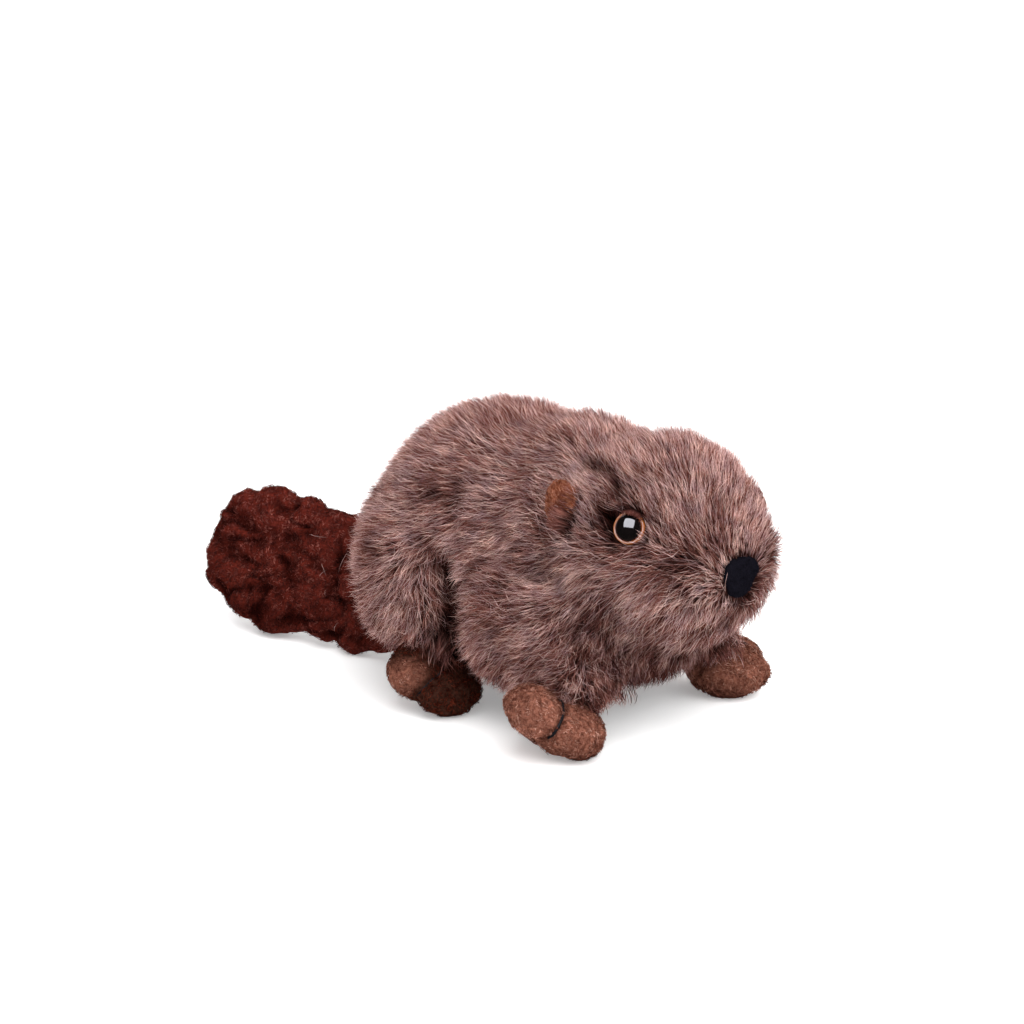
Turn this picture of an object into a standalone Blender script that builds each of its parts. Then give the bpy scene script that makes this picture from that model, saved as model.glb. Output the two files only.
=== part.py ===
"""Plush toy beaver, standing on four splayed paws with its padded tail behind it.

Metres, +Z up. The toy faces +X, its left is +Y and the floor is z = 0. Lengths below are
measured with the floor under the middle of the front paws as zero; the last step moves the
whole toy so that the middle of its bounding box, at floor level, is the world's origin.
Every solid reaches out to the tips of the pile that covers it.
"""

import math

import bmesh
import bpy
from mathutils import Matrix, Vector

# ---------------------------------------------------------------------------------------
# Driving dimensions
# ---------------------------------------------------------------------------------------

SEAM_GAP = 0.0003          # clear space between two pieces that are sewn together

BODY_CENTRE = (-0.066, 0.0, 0.061)
BODY_RADII = (0.053, 0.0475, 0.0505)
SHOULDER_CENTRE = (-0.025, 0.0, 0.0665)
SHOULDER_RADII = (0.044, 0.037, 0.044)
RUMP_CENTRE = (-0.096, 0.0, 0.048)
RUMP_RADII = (0.034, 0.042, 0.040)
FLANK_AT = (-0.034, 0.031, 0.037)     # left side; the right side is its mirror image
FLANK_RADII = (0.024, 0.023, 0.028)
CHEST_CENTRE = (-0.004, 0.0, 0.034)
CHEST_RADII = (0.024, 0.036, 0.022)

HEAD_CENTRE = (0.006, 0.0, 0.068)
HEAD_RADII = (0.0365, 0.0415, 0.0408)
HEAD_TURN = math.radians(-13)         # the toy looks slightly to its right
MUZZLE_AT = (0.0135, 0.0, -0.0060)    # from the middle of the head, before the turn
MUZZLE_RADII = (0.0305, 0.0348, 0.0302)
NECK_AT = -0.020                      # where the head's back is flat against the trunk

EYE_DIAMETER = 0.012
EYE_DEPTH = 0.0075
EYE_ROUND = math.radians(61.5)        # angle round the head from the nose
EYE_UP = math.radians(18)             # angle above the head's equator
EYE_OUT = 0.0377                      # from the middle of the head to the middle of the eye

NOSE_THICKNESS = 0.006
NOSE_BRIDGE_RADII = (0.0092, 0.0058)  # its broad upper part: half its width, half its height
NOSE_BRIDGE_UP = 0.0022               # how far that part lies above the nose's middle
NOSE_POINT_RADII = (0.0067, 0.0064)   # its narrow lower part
NOSE_POINT_DOWN = 0.0016
NOSE_UP = math.radians(-8)
NOSE_OUT = 0.0420

EAR_WIDTH = 0.015
EAR_HEIGHT = 0.018
EAR_THICKNESS = 0.005
EAR_ROUND = math.radians(109)
EAR_UP = math.radians(23)
EAR_OUT = 0.0425
EAR_FLARE = math.radians(20)          # how far the ear's tip leans out of the pile
EAR_FORWARD = math.radians(30)        # how far its face is turned towards the nose

HAUNCH_AT = (-0.081, 0.031, 0.047)
HAUNCH_RADII = (0.029, 0.025, 0.034)
HAUNCH_INNER = 0.024                  # its flat inner side, from the middle plane

SLEEVE_AT = (-0.012, 0.033, 0.036)
SLEEVE_RADII = (0.026, 0.021, 0.026)
CUFF_AT = (-0.008, 0.040, 0.022)
CUFF_RADII = (0.023, 0.017, 0.014)
SLEEVE_INNER = 0.018

PAW_LENGTH = 0.032
FRONT_TOE_HEIGHT = 0.0195
REAR_TOE_HEIGHT = 0.0215              # the rear toe of each paw is the fuller one
WEB_WIDTH = 0.026                     # the stuffing between the two toes
WEB_HEIGHT = 0.0190
FRONT_PAW_WIDTH = 0.038
HIND_FOOT_WIDTH = 0.036
TOE_SHARE = 0.58                      # each toe lobe's share of its paw's width
SOLE_CUT = 0.0012                     # how much of each underside is pressed flat

# How each paw lies: its middle's place forward and out to the side, how far its toes are
# turned forward from straight out, and how far it leans down onto its front toe
PAW_POSES = {
    "front_paw_left": (0.0017, 0.0491, math.radians(47), math.radians(3)),
    "front_paw_right": (-0.0006, 0.0530, math.radians(47), math.radians(24)),
    "hind_foot_left": (-0.0665, 0.0400, math.radians(10), math.radians(12)),
    "hind_foot_right": (-0.0665, 0.0400, math.radians(10), math.radians(24)),
}

TAIL_LENGTH = 0.113
TAIL_WIDTH = 0.053
TAIL_THICKNESS = 0.015
TAIL_SQUARENESS = 3.4                 # 2 would make its outline an ellipse
TAIL_WIDENING = 0.04                  # share by which its tip end is wider than its root end
TAIL_ROLL = math.radians(66)          # the tail stands on its right edge, broad face outward
TAIL_RISE = math.radians(6)           # its tip is slightly higher than its root
TAIL_MIDDLE = (-0.1655, 0.002)
TAIL_ROOT = -0.116                    # its flat root, just inside the rump
PUFF_RADII = (0.0112, 0.0084)         # one puff of the tail's plush: along it and across it
PUFF_SPACING = (0.0195, 0.0132)
RIM_PUFFS = 20
INNER_PUFFS_TO = 0.72                 # how far out the inner puffs go; the rim is at 1
TAIL_PAD = (0.965, 0.955, 0.66)       # the filling under the puffs, as shares of the tail

# Fineness of the soft pieces: the grain they are melted together at, how often they are
# smoothed, and how many triangles they then keep
BODY_GRAIN = 0.0030
TAIL_GRAIN = 0.0017
PAW_GRAIN = 0.0012
SMALL_GRAIN = 0.0009
BODY_SMOOTHING = 11
LEG_SMOOTHING = 6
SMALL_SMOOTHING = 4
TRUNK_TRIANGLES = 900
HEAD_TRIANGLES = 760
LEG_TRIANGLES = 320
PAW_TRIANGLES = 330
TAIL_TRIANGLES = 1080
EAR_TRIANGLES = 120
NOSE_TRIANGLES = 180
LUMP_SEGMENTS = 32
LUMP_RINGS = 20
EYE_SEGMENTS = 16
EYE_RINGS = 6
SHARP_FROM = math.radians(50)         # edges bent more than this are shaded as real edges
CORNER_GROWTH = 2.0                   # most seam gaps that a sharp corner may grow by

SIDES = {"left": 1, "right": -1}

# ---------------------------------------------------------------------------------------
# Scene, materials and shaping helpers
# ---------------------------------------------------------------------------------------

for old in list(bpy.data.objects):
    bpy.data.objects.remove(old, do_unlink=True)

TOY = bpy.data.collections.new("plush_toy_beaver")
bpy.context.scene.collection.children.link(TOY)


def material(name, colour, roughness):
    """A plain Principled material."""
    mat = bpy.data.materials.new(name)
    mat.use_nodes = True
    shader = mat.node_tree.nodes["Principled BSDF"]
    shader.inputs["Base Color"].default_value = (*colour, 1.0)
    shader.inputs["Roughness"].default_value = roughness
    shader.inputs["Metallic"].default_value = 0.0
    return mat


LONG_PLUSH = material("long_plush", (0.205, 0.108, 0.092), 0.9)
SHORT_PLUSH = material("short_plush", (0.220, 0.080, 0.048), 0.9)
TAIL_PLUSH = material("tail_plush", (0.060, 0.014, 0.010), 0.9)
EYE_PLASTIC = material("eye_plastic", (0.012, 0.008, 0.006), 0.1)
NOSE_FABRIC = material("nose_fabric", (0.009, 0.008, 0.011), 0.8)


def new_object(name, mesh, mat):
    """An object in the toy's collection, shaded smooth except at real edges."""
    mesh.name = name
    obj = bpy.data.objects.new(name, mesh)
    TOY.objects.link(obj)
    mesh.materials.clear()
    mesh.materials.append(mat)
    mesh.shade_smooth()
    mesh.set_sharp_from_angle(angle=SHARP_FROM)
    return obj


def lump(centre, radii):
    """The place and size of one ellipsoid of stuffing, from its centre and three radii."""
    return Matrix.LocRotScale(Vector(centre), None, Vector(radii))


def mirrored(point, side):
    """A point given for the left side, moved to the side asked for."""
    return Vector((point[0], point[1] * side, point[2]))


def applied(obj):
    """The object's mesh with all its modifiers carried out; the object itself is removed."""
    graph = bpy.context.evaluated_depsgraph_get()
    mesh = bpy.data.meshes.new_from_object(obj.evaluated_get(graph))
    bpy.data.objects.remove(obj, do_unlink=True)
    return mesh


def add_ball(shape, segments, rings, matrix):
    """Add a ball of radius 1, placed and stretched by its matrix."""
    bmesh.ops.create_uvsphere(shape, u_segments=segments, v_segments=rings, radius=1.0, matrix=matrix)


def stuffed(name, lumps, grain, smoothing, triangles, mat):
    """A soft piece: ellipsoids melted into one closed skin, smoothed and simplified."""
    shape = bmesh.new()
    for matrix in lumps:
        add_ball(shape, LUMP_SEGMENTS, LUMP_RINGS, matrix)
    mesh = bpy.data.meshes.new(name)
    shape.to_mesh(mesh)
    shape.free()
    rough = bpy.data.objects.new(name + "_rough", mesh)
    TOY.objects.link(rough)
    melt = rough.modifiers.new("Melt", "REMESH")
    melt.mode = "VOXEL"
    melt.voxel_size = grain
    soften = rough.modifiers.new("Soften", "SMOOTH")
    soften.iterations = smoothing
    skin = applied(rough)
    rough = bpy.data.objects.new(name + "_rough", skin)
    TOY.objects.link(rough)
    simplify = rough.modifiers.new("Simplify", "DECIMATE")
    skin.calc_loop_triangles()
    simplify.ratio = min(1.0, triangles / len(skin.loop_triangles))
    return new_object(name, applied(rough), mat)


def swollen(obj):
    """A copy of a piece, grown by the seam gap, that cuts the room for it in its neighbour."""
    shape = bmesh.new()
    shape.from_mesh(obj.data)
    shape.normal_update()
    for vert in shape.verts:
        vert.co += vert.normal * SEAM_GAP * min(vert.calc_shell_factor(), CORNER_GROWTH)
    mesh = bpy.data.meshes.new(obj.name + "_room")
    shape.to_mesh(mesh)
    shape.free()
    cutter = bpy.data.objects.new(obj.name + "_room", mesh)
    TOY.objects.link(cutter)
    return cutter


def largest_body(mesh):
    """Leave only the biggest connected piece of a mesh, without the slivers a cut can leave."""
    shape = bmesh.new()
    shape.from_mesh(mesh)
    shape.faces.ensure_lookup_table()
    unseen = set(shape.faces)
    bodies = []
    while unseen:
        front = [unseen.pop()]
        body = set(front)
        while front:
            face = front.pop()
            for edge in face.edges:
                for other in edge.link_faces:
                    if other in unseen:
                        unseen.remove(other)
                        body.add(other)
                        front.append(other)
        bodies.append(body)
    biggest = max(bodies, key=lambda body: sum(face.calc_area() for face in body))
    spare = [face for face in shape.faces if face not in biggest]
    bmesh.ops.delete(shape, geom=spare, context="FACES")
    shape.to_mesh(mesh)
    shape.free()


def cut_away(obj, cutter):
    """Cut one object's shape out of another, and remove the cutter."""
    cut = obj.modifiers.new("Cut", "BOOLEAN")
    cut.operation = "DIFFERENCE"
    cut.solver = "EXACT"
    cut.object = cutter
    graph = bpy.context.evaluated_depsgraph_get()
    mesh = bpy.data.meshes.new_from_object(obj.evaluated_get(graph))
    obj.modifiers.remove(cut)
    largest_body(mesh)
    obj.data = mesh
    bpy.data.objects.remove(cutter, do_unlink=True)


def make_room(obj, neighbours):
    """Hollow a piece out where its neighbours sit in it."""
    for neighbour in neighbours:
        cut_away(obj, swollen(neighbour))


def slice_off(obj, point, outward):
    """Cut off what lies beyond a plane, and close the piece with a flat face there."""
    shape = bmesh.new()
    shape.from_mesh(obj.data)
    everything = shape.verts[:] + shape.edges[:] + shape.faces[:]
    bmesh.ops.bisect_plane(shape, geom=everything, plane_co=point, plane_no=outward, clear_outer=True)
    rim = [edge for edge in shape.edges if edge.is_boundary]
    bmesh.ops.holes_fill(shape, edges=rim, sides=len(rim))
    bmesh.ops.recalc_face_normals(shape, faces=shape.faces)
    shape.to_mesh(obj.data)
    shape.free()


def press_flat(obj):
    """Let a piece stand on the floor on a small flat."""
    slice_off(obj, (0.0, 0.0, 0.0), (0.0, 0.0, -1.0))


# ---------------------------------------------------------------------------------------
# The pieces
# ---------------------------------------------------------------------------------------


def head_matrix():
    """The head's own frame: its middle, turned to the toy's right."""
    return Matrix.Translation(HEAD_CENTRE) @ Matrix.Rotation(HEAD_TURN, 4, "Z")


def on_head(round_angle, up_angle, out):
    """A frame on the head's surface whose local X points straight out and Z towards the crown."""
    turn = Matrix.Rotation(round_angle, 4, "Z") @ Matrix.Rotation(-up_angle, 4, "Y")
    return head_matrix() @ turn @ Matrix.Translation((out, 0.0, 0.0))


def make_head():
    frame = head_matrix()
    skull = frame @ lump((0.0, 0.0, 0.0), HEAD_RADII)
    muzzle = frame @ lump(MUZZLE_AT, MUZZLE_RADII)
    head = stuffed("head", [skull, muzzle], BODY_GRAIN, BODY_SMOOTHING, HEAD_TRIANGLES, LONG_PLUSH)
    back = frame.to_3x3() @ Vector((-1.0, 0.0, 0.0))
    slice_off(head, frame @ Vector((NECK_AT, 0.0, 0.0)), back)
    return head


def make_eye(name, side):
    """A safety eye: a shallow plastic dome set in the head."""
    frame = on_head(side * EYE_ROUND, EYE_UP, EYE_OUT)
    shape = bmesh.new()
    radii = Matrix.Diagonal((EYE_DEPTH / 2, EYE_DIAMETER / 2, EYE_DIAMETER / 2, 1.0))
    pole_out = Matrix.Rotation(math.radians(90), 4, "Y")
    place = frame @ radii @ pole_out
    add_ball(shape, EYE_SEGMENTS, EYE_RINGS, place)
    mesh = bpy.data.meshes.new(name)
    shape.to_mesh(mesh)
    shape.free()
    return new_object(name, mesh, EYE_PLASTIC)


def make_nose():
    """A padded fabric nose: wide at the top, narrower below."""
    frame = on_head(0.0, NOSE_UP, NOSE_OUT)
    deep = NOSE_THICKNESS / 2
    bridge = frame @ lump((0.0, 0.0, NOSE_BRIDGE_UP), (deep, *NOSE_BRIDGE_RADII))
    point = frame @ lump((0.0, 0.0, -NOSE_POINT_DOWN), (deep, *NOSE_POINT_RADII))
    lumps = [bridge, point]
    return stuffed("nose", lumps, SMALL_GRAIN, SMALL_SMOOTHING, NOSE_TRIANGLES, NOSE_FABRIC)


def make_ear(name, side):
    """A small round flap that leans out of the pile behind the eye."""
    frame = on_head(side * EAR_ROUND, EAR_UP, EAR_OUT)
    lean = Matrix.Rotation(-side * EAR_FORWARD, 4, "Z") @ Matrix.Rotation(EAR_FLARE, 4, "Y")
    radii = (EAR_THICKNESS / 2, EAR_WIDTH / 2, EAR_HEIGHT / 2)
    flap = frame @ lean @ lump((0.0, 0.0, 0.0), radii)
    return stuffed(name, [flap], SMALL_GRAIN, SMALL_SMOOTHING, EAR_TRIANGLES, SHORT_PLUSH)


def make_trunk():
    lumps = [
        lump(BODY_CENTRE, BODY_RADII),
        lump(SHOULDER_CENTRE, SHOULDER_RADII),
        lump(RUMP_CENTRE, RUMP_RADII),
        lump(CHEST_CENTRE, CHEST_RADII),
    ]
    lumps += [lump(mirrored(FLANK_AT, side), FLANK_RADII) for side in SIDES.values()]
    return stuffed("trunk", lumps, BODY_GRAIN, BODY_SMOOTHING, TRUNK_TRIANGLES, LONG_PLUSH)


def make_haunch(name, side):
    lumps = [lump(mirrored(HAUNCH_AT, side), HAUNCH_RADII)]
    haunch = stuffed(name, lumps, BODY_GRAIN, LEG_SMOOTHING, LEG_TRIANGLES, LONG_PLUSH)
    slice_off(haunch, (0.0, side * HAUNCH_INNER, 0.0), (0.0, -side, 0.0))
    return haunch


def make_front_leg(name, side):
    """The long-pile sleeve of a front leg, from the shoulder to the cuff over the paw."""
    lumps = [
        lump(mirrored(SLEEVE_AT, side), SLEEVE_RADII),
        lump(mirrored(CUFF_AT, side), CUFF_RADII),
    ]
    leg = stuffed(name, lumps, BODY_GRAIN, LEG_SMOOTHING, LEG_TRIANGLES, LONG_PLUSH)
    slice_off(leg, (0.0, side * SLEEVE_INNER, 0.0), (0.0, -side, 0.0))
    return leg


def make_paw(name, width, side):
    """A stuffed paw of two toe lobes that lie side by side, leaning onto the front one."""
    forward, out, turn, lean = PAW_POSES[name]
    frame = Matrix.Rotation(-side * turn, 4, "Z") @ Matrix.Rotation(lean, 4, "Y")
    across = TOE_SHARE * width / 2
    offset = width / 2 - across
    lumps = [frame @ lump((0.0, 0.0, 0.0), (WEB_WIDTH / 2, PAW_LENGTH / 2, WEB_HEIGHT / 2))]
    for end, height in ((1, FRONT_TOE_HEIGHT), (-1, REAR_TOE_HEIGHT)):
        lumps.append(frame @ lump((end * offset, 0.0, 0.0), (across, PAW_LENGTH / 2, height / 2)))
    paw = stuffed(name, lumps, PAW_GRAIN, SMALL_SMOOTHING, PAW_TRIANGLES, SHORT_PLUSH)
    lowest = min(vert.co.z for vert in paw.data.vertices)
    paw.data.transform(Matrix.Translation((forward, side * out, -lowest - SOLE_CUT)))
    press_flat(paw)
    return paw


def tail_reach(x, y):
    """How far out a place on the tail lies: 0 in the middle, 1 on its blunt oval outline."""
    along = abs(x) / (TAIL_LENGTH / 2)
    half_width = TAIL_WIDTH / 2 * (1.0 - TAIL_WIDENING * x / TAIL_LENGTH)
    across = abs(y) / half_width
    return (along ** TAIL_SQUARENESS + across ** TAIL_SQUARENESS) ** (1.0 / TAIL_SQUARENESS)


def tail_puffs():
    """Where the tail's plush is puffed up: evenly round its rim, and in staggered rows inside."""
    puffs = []
    for number in range(RIM_PUFFS):
        angle = 2 * math.pi * number / RIM_PUFFS
        x = math.cos(angle) * TAIL_LENGTH / 2
        y = math.sin(angle) * TAIL_WIDTH / 2
        edge = 1.0 / tail_reach(x, y)
        inset = 1.0 - PUFF_RADII[1] / (math.hypot(x, y) * edge)
        puffs.append((x * edge * inset, y * edge * inset))
    rows = int(TAIL_WIDTH / 2 / PUFF_SPACING[1])
    columns = int(TAIL_LENGTH / 2 / PUFF_SPACING[0])
    for row in range(-rows, rows + 1):
        for column in range(-columns, columns + 1):
            x = (column + 0.5 * (row % 2)) * PUFF_SPACING[0]
            y = row * PUFF_SPACING[1]
            if tail_reach(x, y) < INNER_PUFFS_TO:
                puffs.append((x, y))
    return puffs


def make_tail():
    """A flat padded paddle, puffed up all over, rolled over onto its right edge."""
    turn = Matrix.Rotation(TAIL_RISE, 4, "Y") @ Matrix.Rotation(TAIL_ROLL, 4, "X")
    whole = (TAIL_LENGTH, TAIL_WIDTH, TAIL_THICKNESS)
    pad = [share * size / 2 for share, size in zip(TAIL_PAD, whole)]
    lumps = [turn @ lump((0.0, 0.0, 0.0), pad)]
    for x, y in tail_puffs():
        lumps.append(turn @ lump((x, y, 0.0), (*PUFF_RADII, TAIL_THICKNESS / 2)))
    tail = stuffed("tail", lumps, TAIL_GRAIN, SMALL_SMOOTHING, TAIL_TRIANGLES, TAIL_PLUSH)
    lowest = min(vert.co.z for vert in tail.data.vertices)
    tail.data.transform(Matrix.Translation((*TAIL_MIDDLE, -lowest - SOLE_CUT)))
    slice_off(tail, (TAIL_ROOT, 0.0, 0.0), (1.0, 0.0, 0.0))
    press_flat(tail)
    return tail


# ---------------------------------------------------------------------------------------
# Assembly
# ---------------------------------------------------------------------------------------

nose = make_nose()
tail = make_tail()
head = make_head()
trunk = make_trunk()
eyes = [make_eye("eye_" + word, side) for word, side in SIDES.items()]
ears = [make_ear("ear_" + word, side) for word, side in SIDES.items()]
haunches = [make_haunch("haunch_" + word, side) for word, side in SIDES.items()]
front_legs = [make_front_leg("front_leg_" + word, side) for word, side in SIDES.items()]
front_paws = []
hind_feet = []
for word, side in SIDES.items():
    front_paws.append(make_paw("front_paw_" + word, FRONT_PAW_WIDTH, side))
    hind_feet.append(make_paw("hind_foot_" + word, HIND_FOOT_WIDTH, side))

for leg, paw in zip(front_legs, front_paws):
    make_room(leg, [paw, *ears])
    make_room(head, [leg])
make_room(head, [nose, *eyes, *ears])
for haunch, foot in zip(haunches, hind_feet):
    make_room(haunch, [foot, tail])
make_room(trunk, [head, *front_legs, *front_paws, *haunches, *hind_feet, *ears, tail])

# Each piece turns about its own middle and hangs from one empty at the world's origin.
pieces = list(TOY.objects)
corners = [vert.co for obj in pieces for vert in obj.data.vertices]
middle_x = (min(c.x for c in corners) + max(c.x for c in corners)) / 2
middle_y = (min(c.y for c in corners) + max(c.y for c in corners)) / 2
root = bpy.data.objects.new("beaver_origin", None)
TOY.objects.link(root)
for obj in pieces:
    own_middle = sum((Vector(corner) for corner in obj.bound_box), Vector()) / 8
    obj.data.transform(Matrix.Translation(-own_middle))
    obj.location = own_middle - Vector((middle_x, middle_y, 0.0))
    obj.parent = root
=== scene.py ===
"""The looks of the plush toy beaver: its sewn skins, its pile, eyes, nose and toe threads."""

import math

import bmesh
import bpy
import numpy as np
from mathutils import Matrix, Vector
from mathutils.bvhtree import BVHTree
from mathutils.kdtree import KDTree


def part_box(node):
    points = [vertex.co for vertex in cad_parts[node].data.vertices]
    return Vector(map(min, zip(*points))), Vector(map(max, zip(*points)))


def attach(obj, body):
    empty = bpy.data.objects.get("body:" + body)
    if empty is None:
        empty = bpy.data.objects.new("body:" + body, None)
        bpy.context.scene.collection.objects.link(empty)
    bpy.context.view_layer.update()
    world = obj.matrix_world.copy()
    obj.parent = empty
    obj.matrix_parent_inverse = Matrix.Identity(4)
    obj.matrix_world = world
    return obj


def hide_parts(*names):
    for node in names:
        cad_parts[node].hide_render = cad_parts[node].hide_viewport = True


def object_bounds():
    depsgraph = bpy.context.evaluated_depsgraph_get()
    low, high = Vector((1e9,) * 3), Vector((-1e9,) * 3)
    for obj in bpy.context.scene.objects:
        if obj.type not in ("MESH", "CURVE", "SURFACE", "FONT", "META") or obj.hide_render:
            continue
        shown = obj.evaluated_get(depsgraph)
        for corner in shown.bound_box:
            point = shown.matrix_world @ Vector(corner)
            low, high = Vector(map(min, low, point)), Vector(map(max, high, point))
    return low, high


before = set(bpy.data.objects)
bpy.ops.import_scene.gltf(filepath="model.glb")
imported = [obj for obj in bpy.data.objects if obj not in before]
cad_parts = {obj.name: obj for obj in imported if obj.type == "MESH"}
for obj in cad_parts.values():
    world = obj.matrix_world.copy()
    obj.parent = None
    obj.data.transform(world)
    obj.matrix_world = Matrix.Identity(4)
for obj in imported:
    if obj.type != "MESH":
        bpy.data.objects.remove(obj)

CAD_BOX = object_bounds()

# ---- Sizes, in metres, and counts ----

# Camera, light and floor
LENS = 85.0
CAMERA_TARGET = (0.0, 0.0, 0.055)
CAMERA_DISTANCE = 0.92
CAMERA_AZIMUTH = math.radians(40)
CAMERA_ELEVATION = math.radians(14)
CAMERA_SHIFT = (0.0516, 0.0235)
CAMERA_CLIP = (0.01, 50.0)
SKY = 0.80
# Soft lights: the way from the toy to each one's middle, its strength and its width in degrees
SUNS = [("soft_sun", (0.50, -0.22, 0.84), 3.1, 70), ("soft_fill", (0.58, 0.70, 0.42), 0.85, 80)]
SUN_DISTANCE = 2.0
WINDOW_WATTS = 60.0                    # a soft box that only glossy surfaces see
WINDOW_WAY = (0.172, -0.638, 0.751)
WINDOW_SIZE = (0.90, 0.82)
WINDOW_DISTANCE = 0.8
WINDOW_TINT = (0.93, 0.93, 1.0)
FLOOR_HALF = 60.0
FLOOR_PAPER = (0.97, 0.97, 0.97, 1.0)
FLOOR_GLOW = 0.25                      # paper lit from below, which pales the shadows

# The toy's own layout, as the part's source has it
HEAD_TURN = math.radians(-13)
NOSE_UP = math.radians(-8)
NOSE_OUT = 0.0420
EYE_ROUND = math.radians(61.5)
EYE_UP = math.radians(18)
EYE_RADIUS = 0.006
TAIL_ROLL = math.radians(66)
TAIL_RISE = math.radians(6)
# Each paw's turn forward and its lean onto its front toe
PAW_POSES = {
    "front_paw_left": (math.radians(47), math.radians(3)),
    "front_paw_right": (math.radians(47), math.radians(24)),
    "hind_foot_left": (math.radians(10), math.radians(12)),
    "hind_foot_right": (math.radians(10), math.radians(24)),
}
LONG_NODES = [
    "trunk", "head", "haunch_left", "haunch_right", "front_leg_left", "front_leg_right",
]
FACE_NODES = ["nose", "eye_left", "eye_right"]
SIDES = {"left": 1.0, "right": -1.0}
UP = np.array((0.0, 0.0, 1.0))

# How the dressed toy is moved from its solids
EYE_RAISED = 0.0011
EYE_SUNK = 0.0022
EYE_SHARE = 0.95
EAR_FORWARD = 0.0014
NOSE_RAISED = 0.0014
NOSE_ASIDE = 0.0013                    # towards the toy's right side
NOSE_SLIM = 0.92                       # the nose's width as a share of its solid's
RIDGE = (42, 6)                        # the full fur between each eye and the nose, in angles
RIDGE_RAISED = 0.0024
WITHERS = (0.046, -0.002, 0.108)       # the full fur over the front of the back
WITHERS_RAISED = 0.0018
FRONT_FILL = 0.85                      # the share of the dip between a front paw's toes that is filled
MOST_FILLED = 0.0040
REAR_TUCK = 0.0090                     # how far a leaning paw's rear toe is drawn up beneath
TAIL_CORNER = (-0.095, -0.010, 0.007)  # the full part of the tail's near lower edge
TAIL_CORNER_RAISED = 0.0042

# The skin under the long pile, and the depth of the pile on it
BODY_GRAIN = 0.0022
SWELL = 0.0005                         # closes the gaps between solids before they are melted
BODY_DEPTH = 0.0088
HEAD_DEPTH = 0.0072
LEG_DEPTH = 0.0060
EYE_SIDE_DEPTH = 0.0042
NOSE_SIDE_DEPTH = 0.0030
LEAST_DEPTH = 0.0015
MOST_DEPTH = 0.0110
NOSE_RADIUS = 0.0061                   # within this of the nose's middle no pile grows

# Furrows in the pile, carved in and darkened with painted shade. The groove in front of each haunch
# runs down its front edge, a little inside each flank: places forward and up
GROOVE = [(0.0285, 0.061), (0.0298, 0.050), (0.0300, 0.040), (0.0290, 0.030), (0.0275, 0.020)]
GROOVE_OUT = 0.043
GROOVE_CARVED = 0.0065
# The furrow from above each ear down to its eye, and the parting from the eye down to the
# nose, both carved a little and darkened with painted shade: angles round the head and up it, in degrees
BROW = [(124, 48), (104, 49), (81, 46), (66, 36)]
PARTING = [(44, 19), (33, 11), (23, 3), (17, -2)]
PARTING_SHARE = 0.75
BROW_OUT = 0.0400                      # how far out from the middle of the head they lie
BROW_CARVED = 0.0016
WAKE = (73, 20)                        # the shaded hollow behind each eye, in the same angles
WAKE_CARVED = 0.0020
SOCKET_BACK = 0.0040                   # the painted shade round each eye lies this far behind it
SOCKET_DOWN = 0.0020
# The fold between each cheek and its sleeve, darkened with painted shade: places forward, outward and up
NECK = [
    (0.0937, 0.0416, 0.0482), (0.0973, 0.0405, 0.0414), (0.1004, 0.0329, 0.0349),
    (0.1000, 0.0204, 0.0283),
]
SHOULDER = (0.086, 0.043, 0.056)       # where the pile turns down from the neck to a sleeve
CHEST = (0.098, 0.0, 0.018)            # the middle of the painted shade under the chin

# The long pile. Each kind of strand: its name, how many there are, where its rings are along
# it, its width, its least and most length as shares of the pile's, and how pale it is
INNER, OUTER, FINE, GUARD = "inner", "outer", "fine", "guard"
OUTER_WIDTH = 0.00031
KINDS = [
    (INNER, 82_000, [0.38], 0.00040, 0.64, 0.94, -0.08),
    (OUTER, 32_000, [0.30, 0.68], OUTER_WIDTH, 0.80, 1.05, 0.12),
    (FINE, 34_000, [0.45], 0.00023, 0.90, 1.14, 0.26),
    (GUARD, 8_000, [0.30, 0.68], 0.00021, 1.04, 1.26, 0.46),
]
FINE_LOOSENESS = 1.7                   # how much more untidily fine and guard hairs lie
CLUMPS = 2_600                         # loose tufts that strands of every kind lean into
CLUMP_REACH = 0.0029                   # how far a strand at a tuft's edge is from its middle
BODY_STAND = 0.66                      # height of the pile as a share of its length
CREST_STAND = 0.80
FACE_STAND = 0.50
KINK = 0.095                           # how far a strand waves aside, as a share of its length
ROOTED = 0.0006                        # how far below the skin a strand starts
LOCK_SHARE = 0.14                      # one strand in seven leads a lock, and the others lean
LOCK_PULL = 0.28                       # towards the nearest leader's tip by this much
CLUMP_PULL = 0.26                      # how far each strand leans the way of its loose tuft
BARE_PAW = 0.0016                      # no long pile starts this close to a paw
# Round each eye and the nose the pile is cut back: the radius of the clear disc, how far around
# it this reaches, and how much the disc widens with height
EYE_CLEAR = (EYE_RADIUS, 0.030, 0.47)
NOSE_CLEAR = (NOSE_RADIUS, 0.026, 0.0)
CUT_INSIDE = 0.55                      # what is left of a strand that starts inside a disc,
CUT_BOWED = 0.45                       # and of one that bends over it
LEAST_CUT = 0.2                        # a strand cut shorter than this is left out
PIECE_LIMIT = 190_000                  # triangles in one piece of coat
UV_PATCH = 0.003

# Loose strands of the long pile over other pieces
LOOSE_RINGS = [0.30, 0.68]
STRAY_RINGS = [0.15, 0.38, 0.62, 0.85]
STRAY_WIDTH = 0.00016
LID_HAIRS = 200
LID_WIDTH = 0.00028
NOSE_STRAYS = 8
TAIL_STRAYS = 9
EAR_WISPS = 320
HANGING_WISPS = 280
# Wisps at each haunch's front edge and each sleeve's: where they are, how far they spread,
# which way they hang and bow, and how long the longest is
HAUNCH_WISPS = (
    (0.0250, 0.0400, 0.0285), (0.0042, 0.0012, 0.0022), (0.05, 0.30, -1.0), (0.2, 1.0, 0.0), 0.0125,
)
SLEEVE_WISPS = (
    (0.0955, 0.0350, 0.0235), (0.0030, 0.0044, 0.0018), (0.35, 0.25, -1.0), (0.85, -0.3, 0.1), 0.0088,
)

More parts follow.
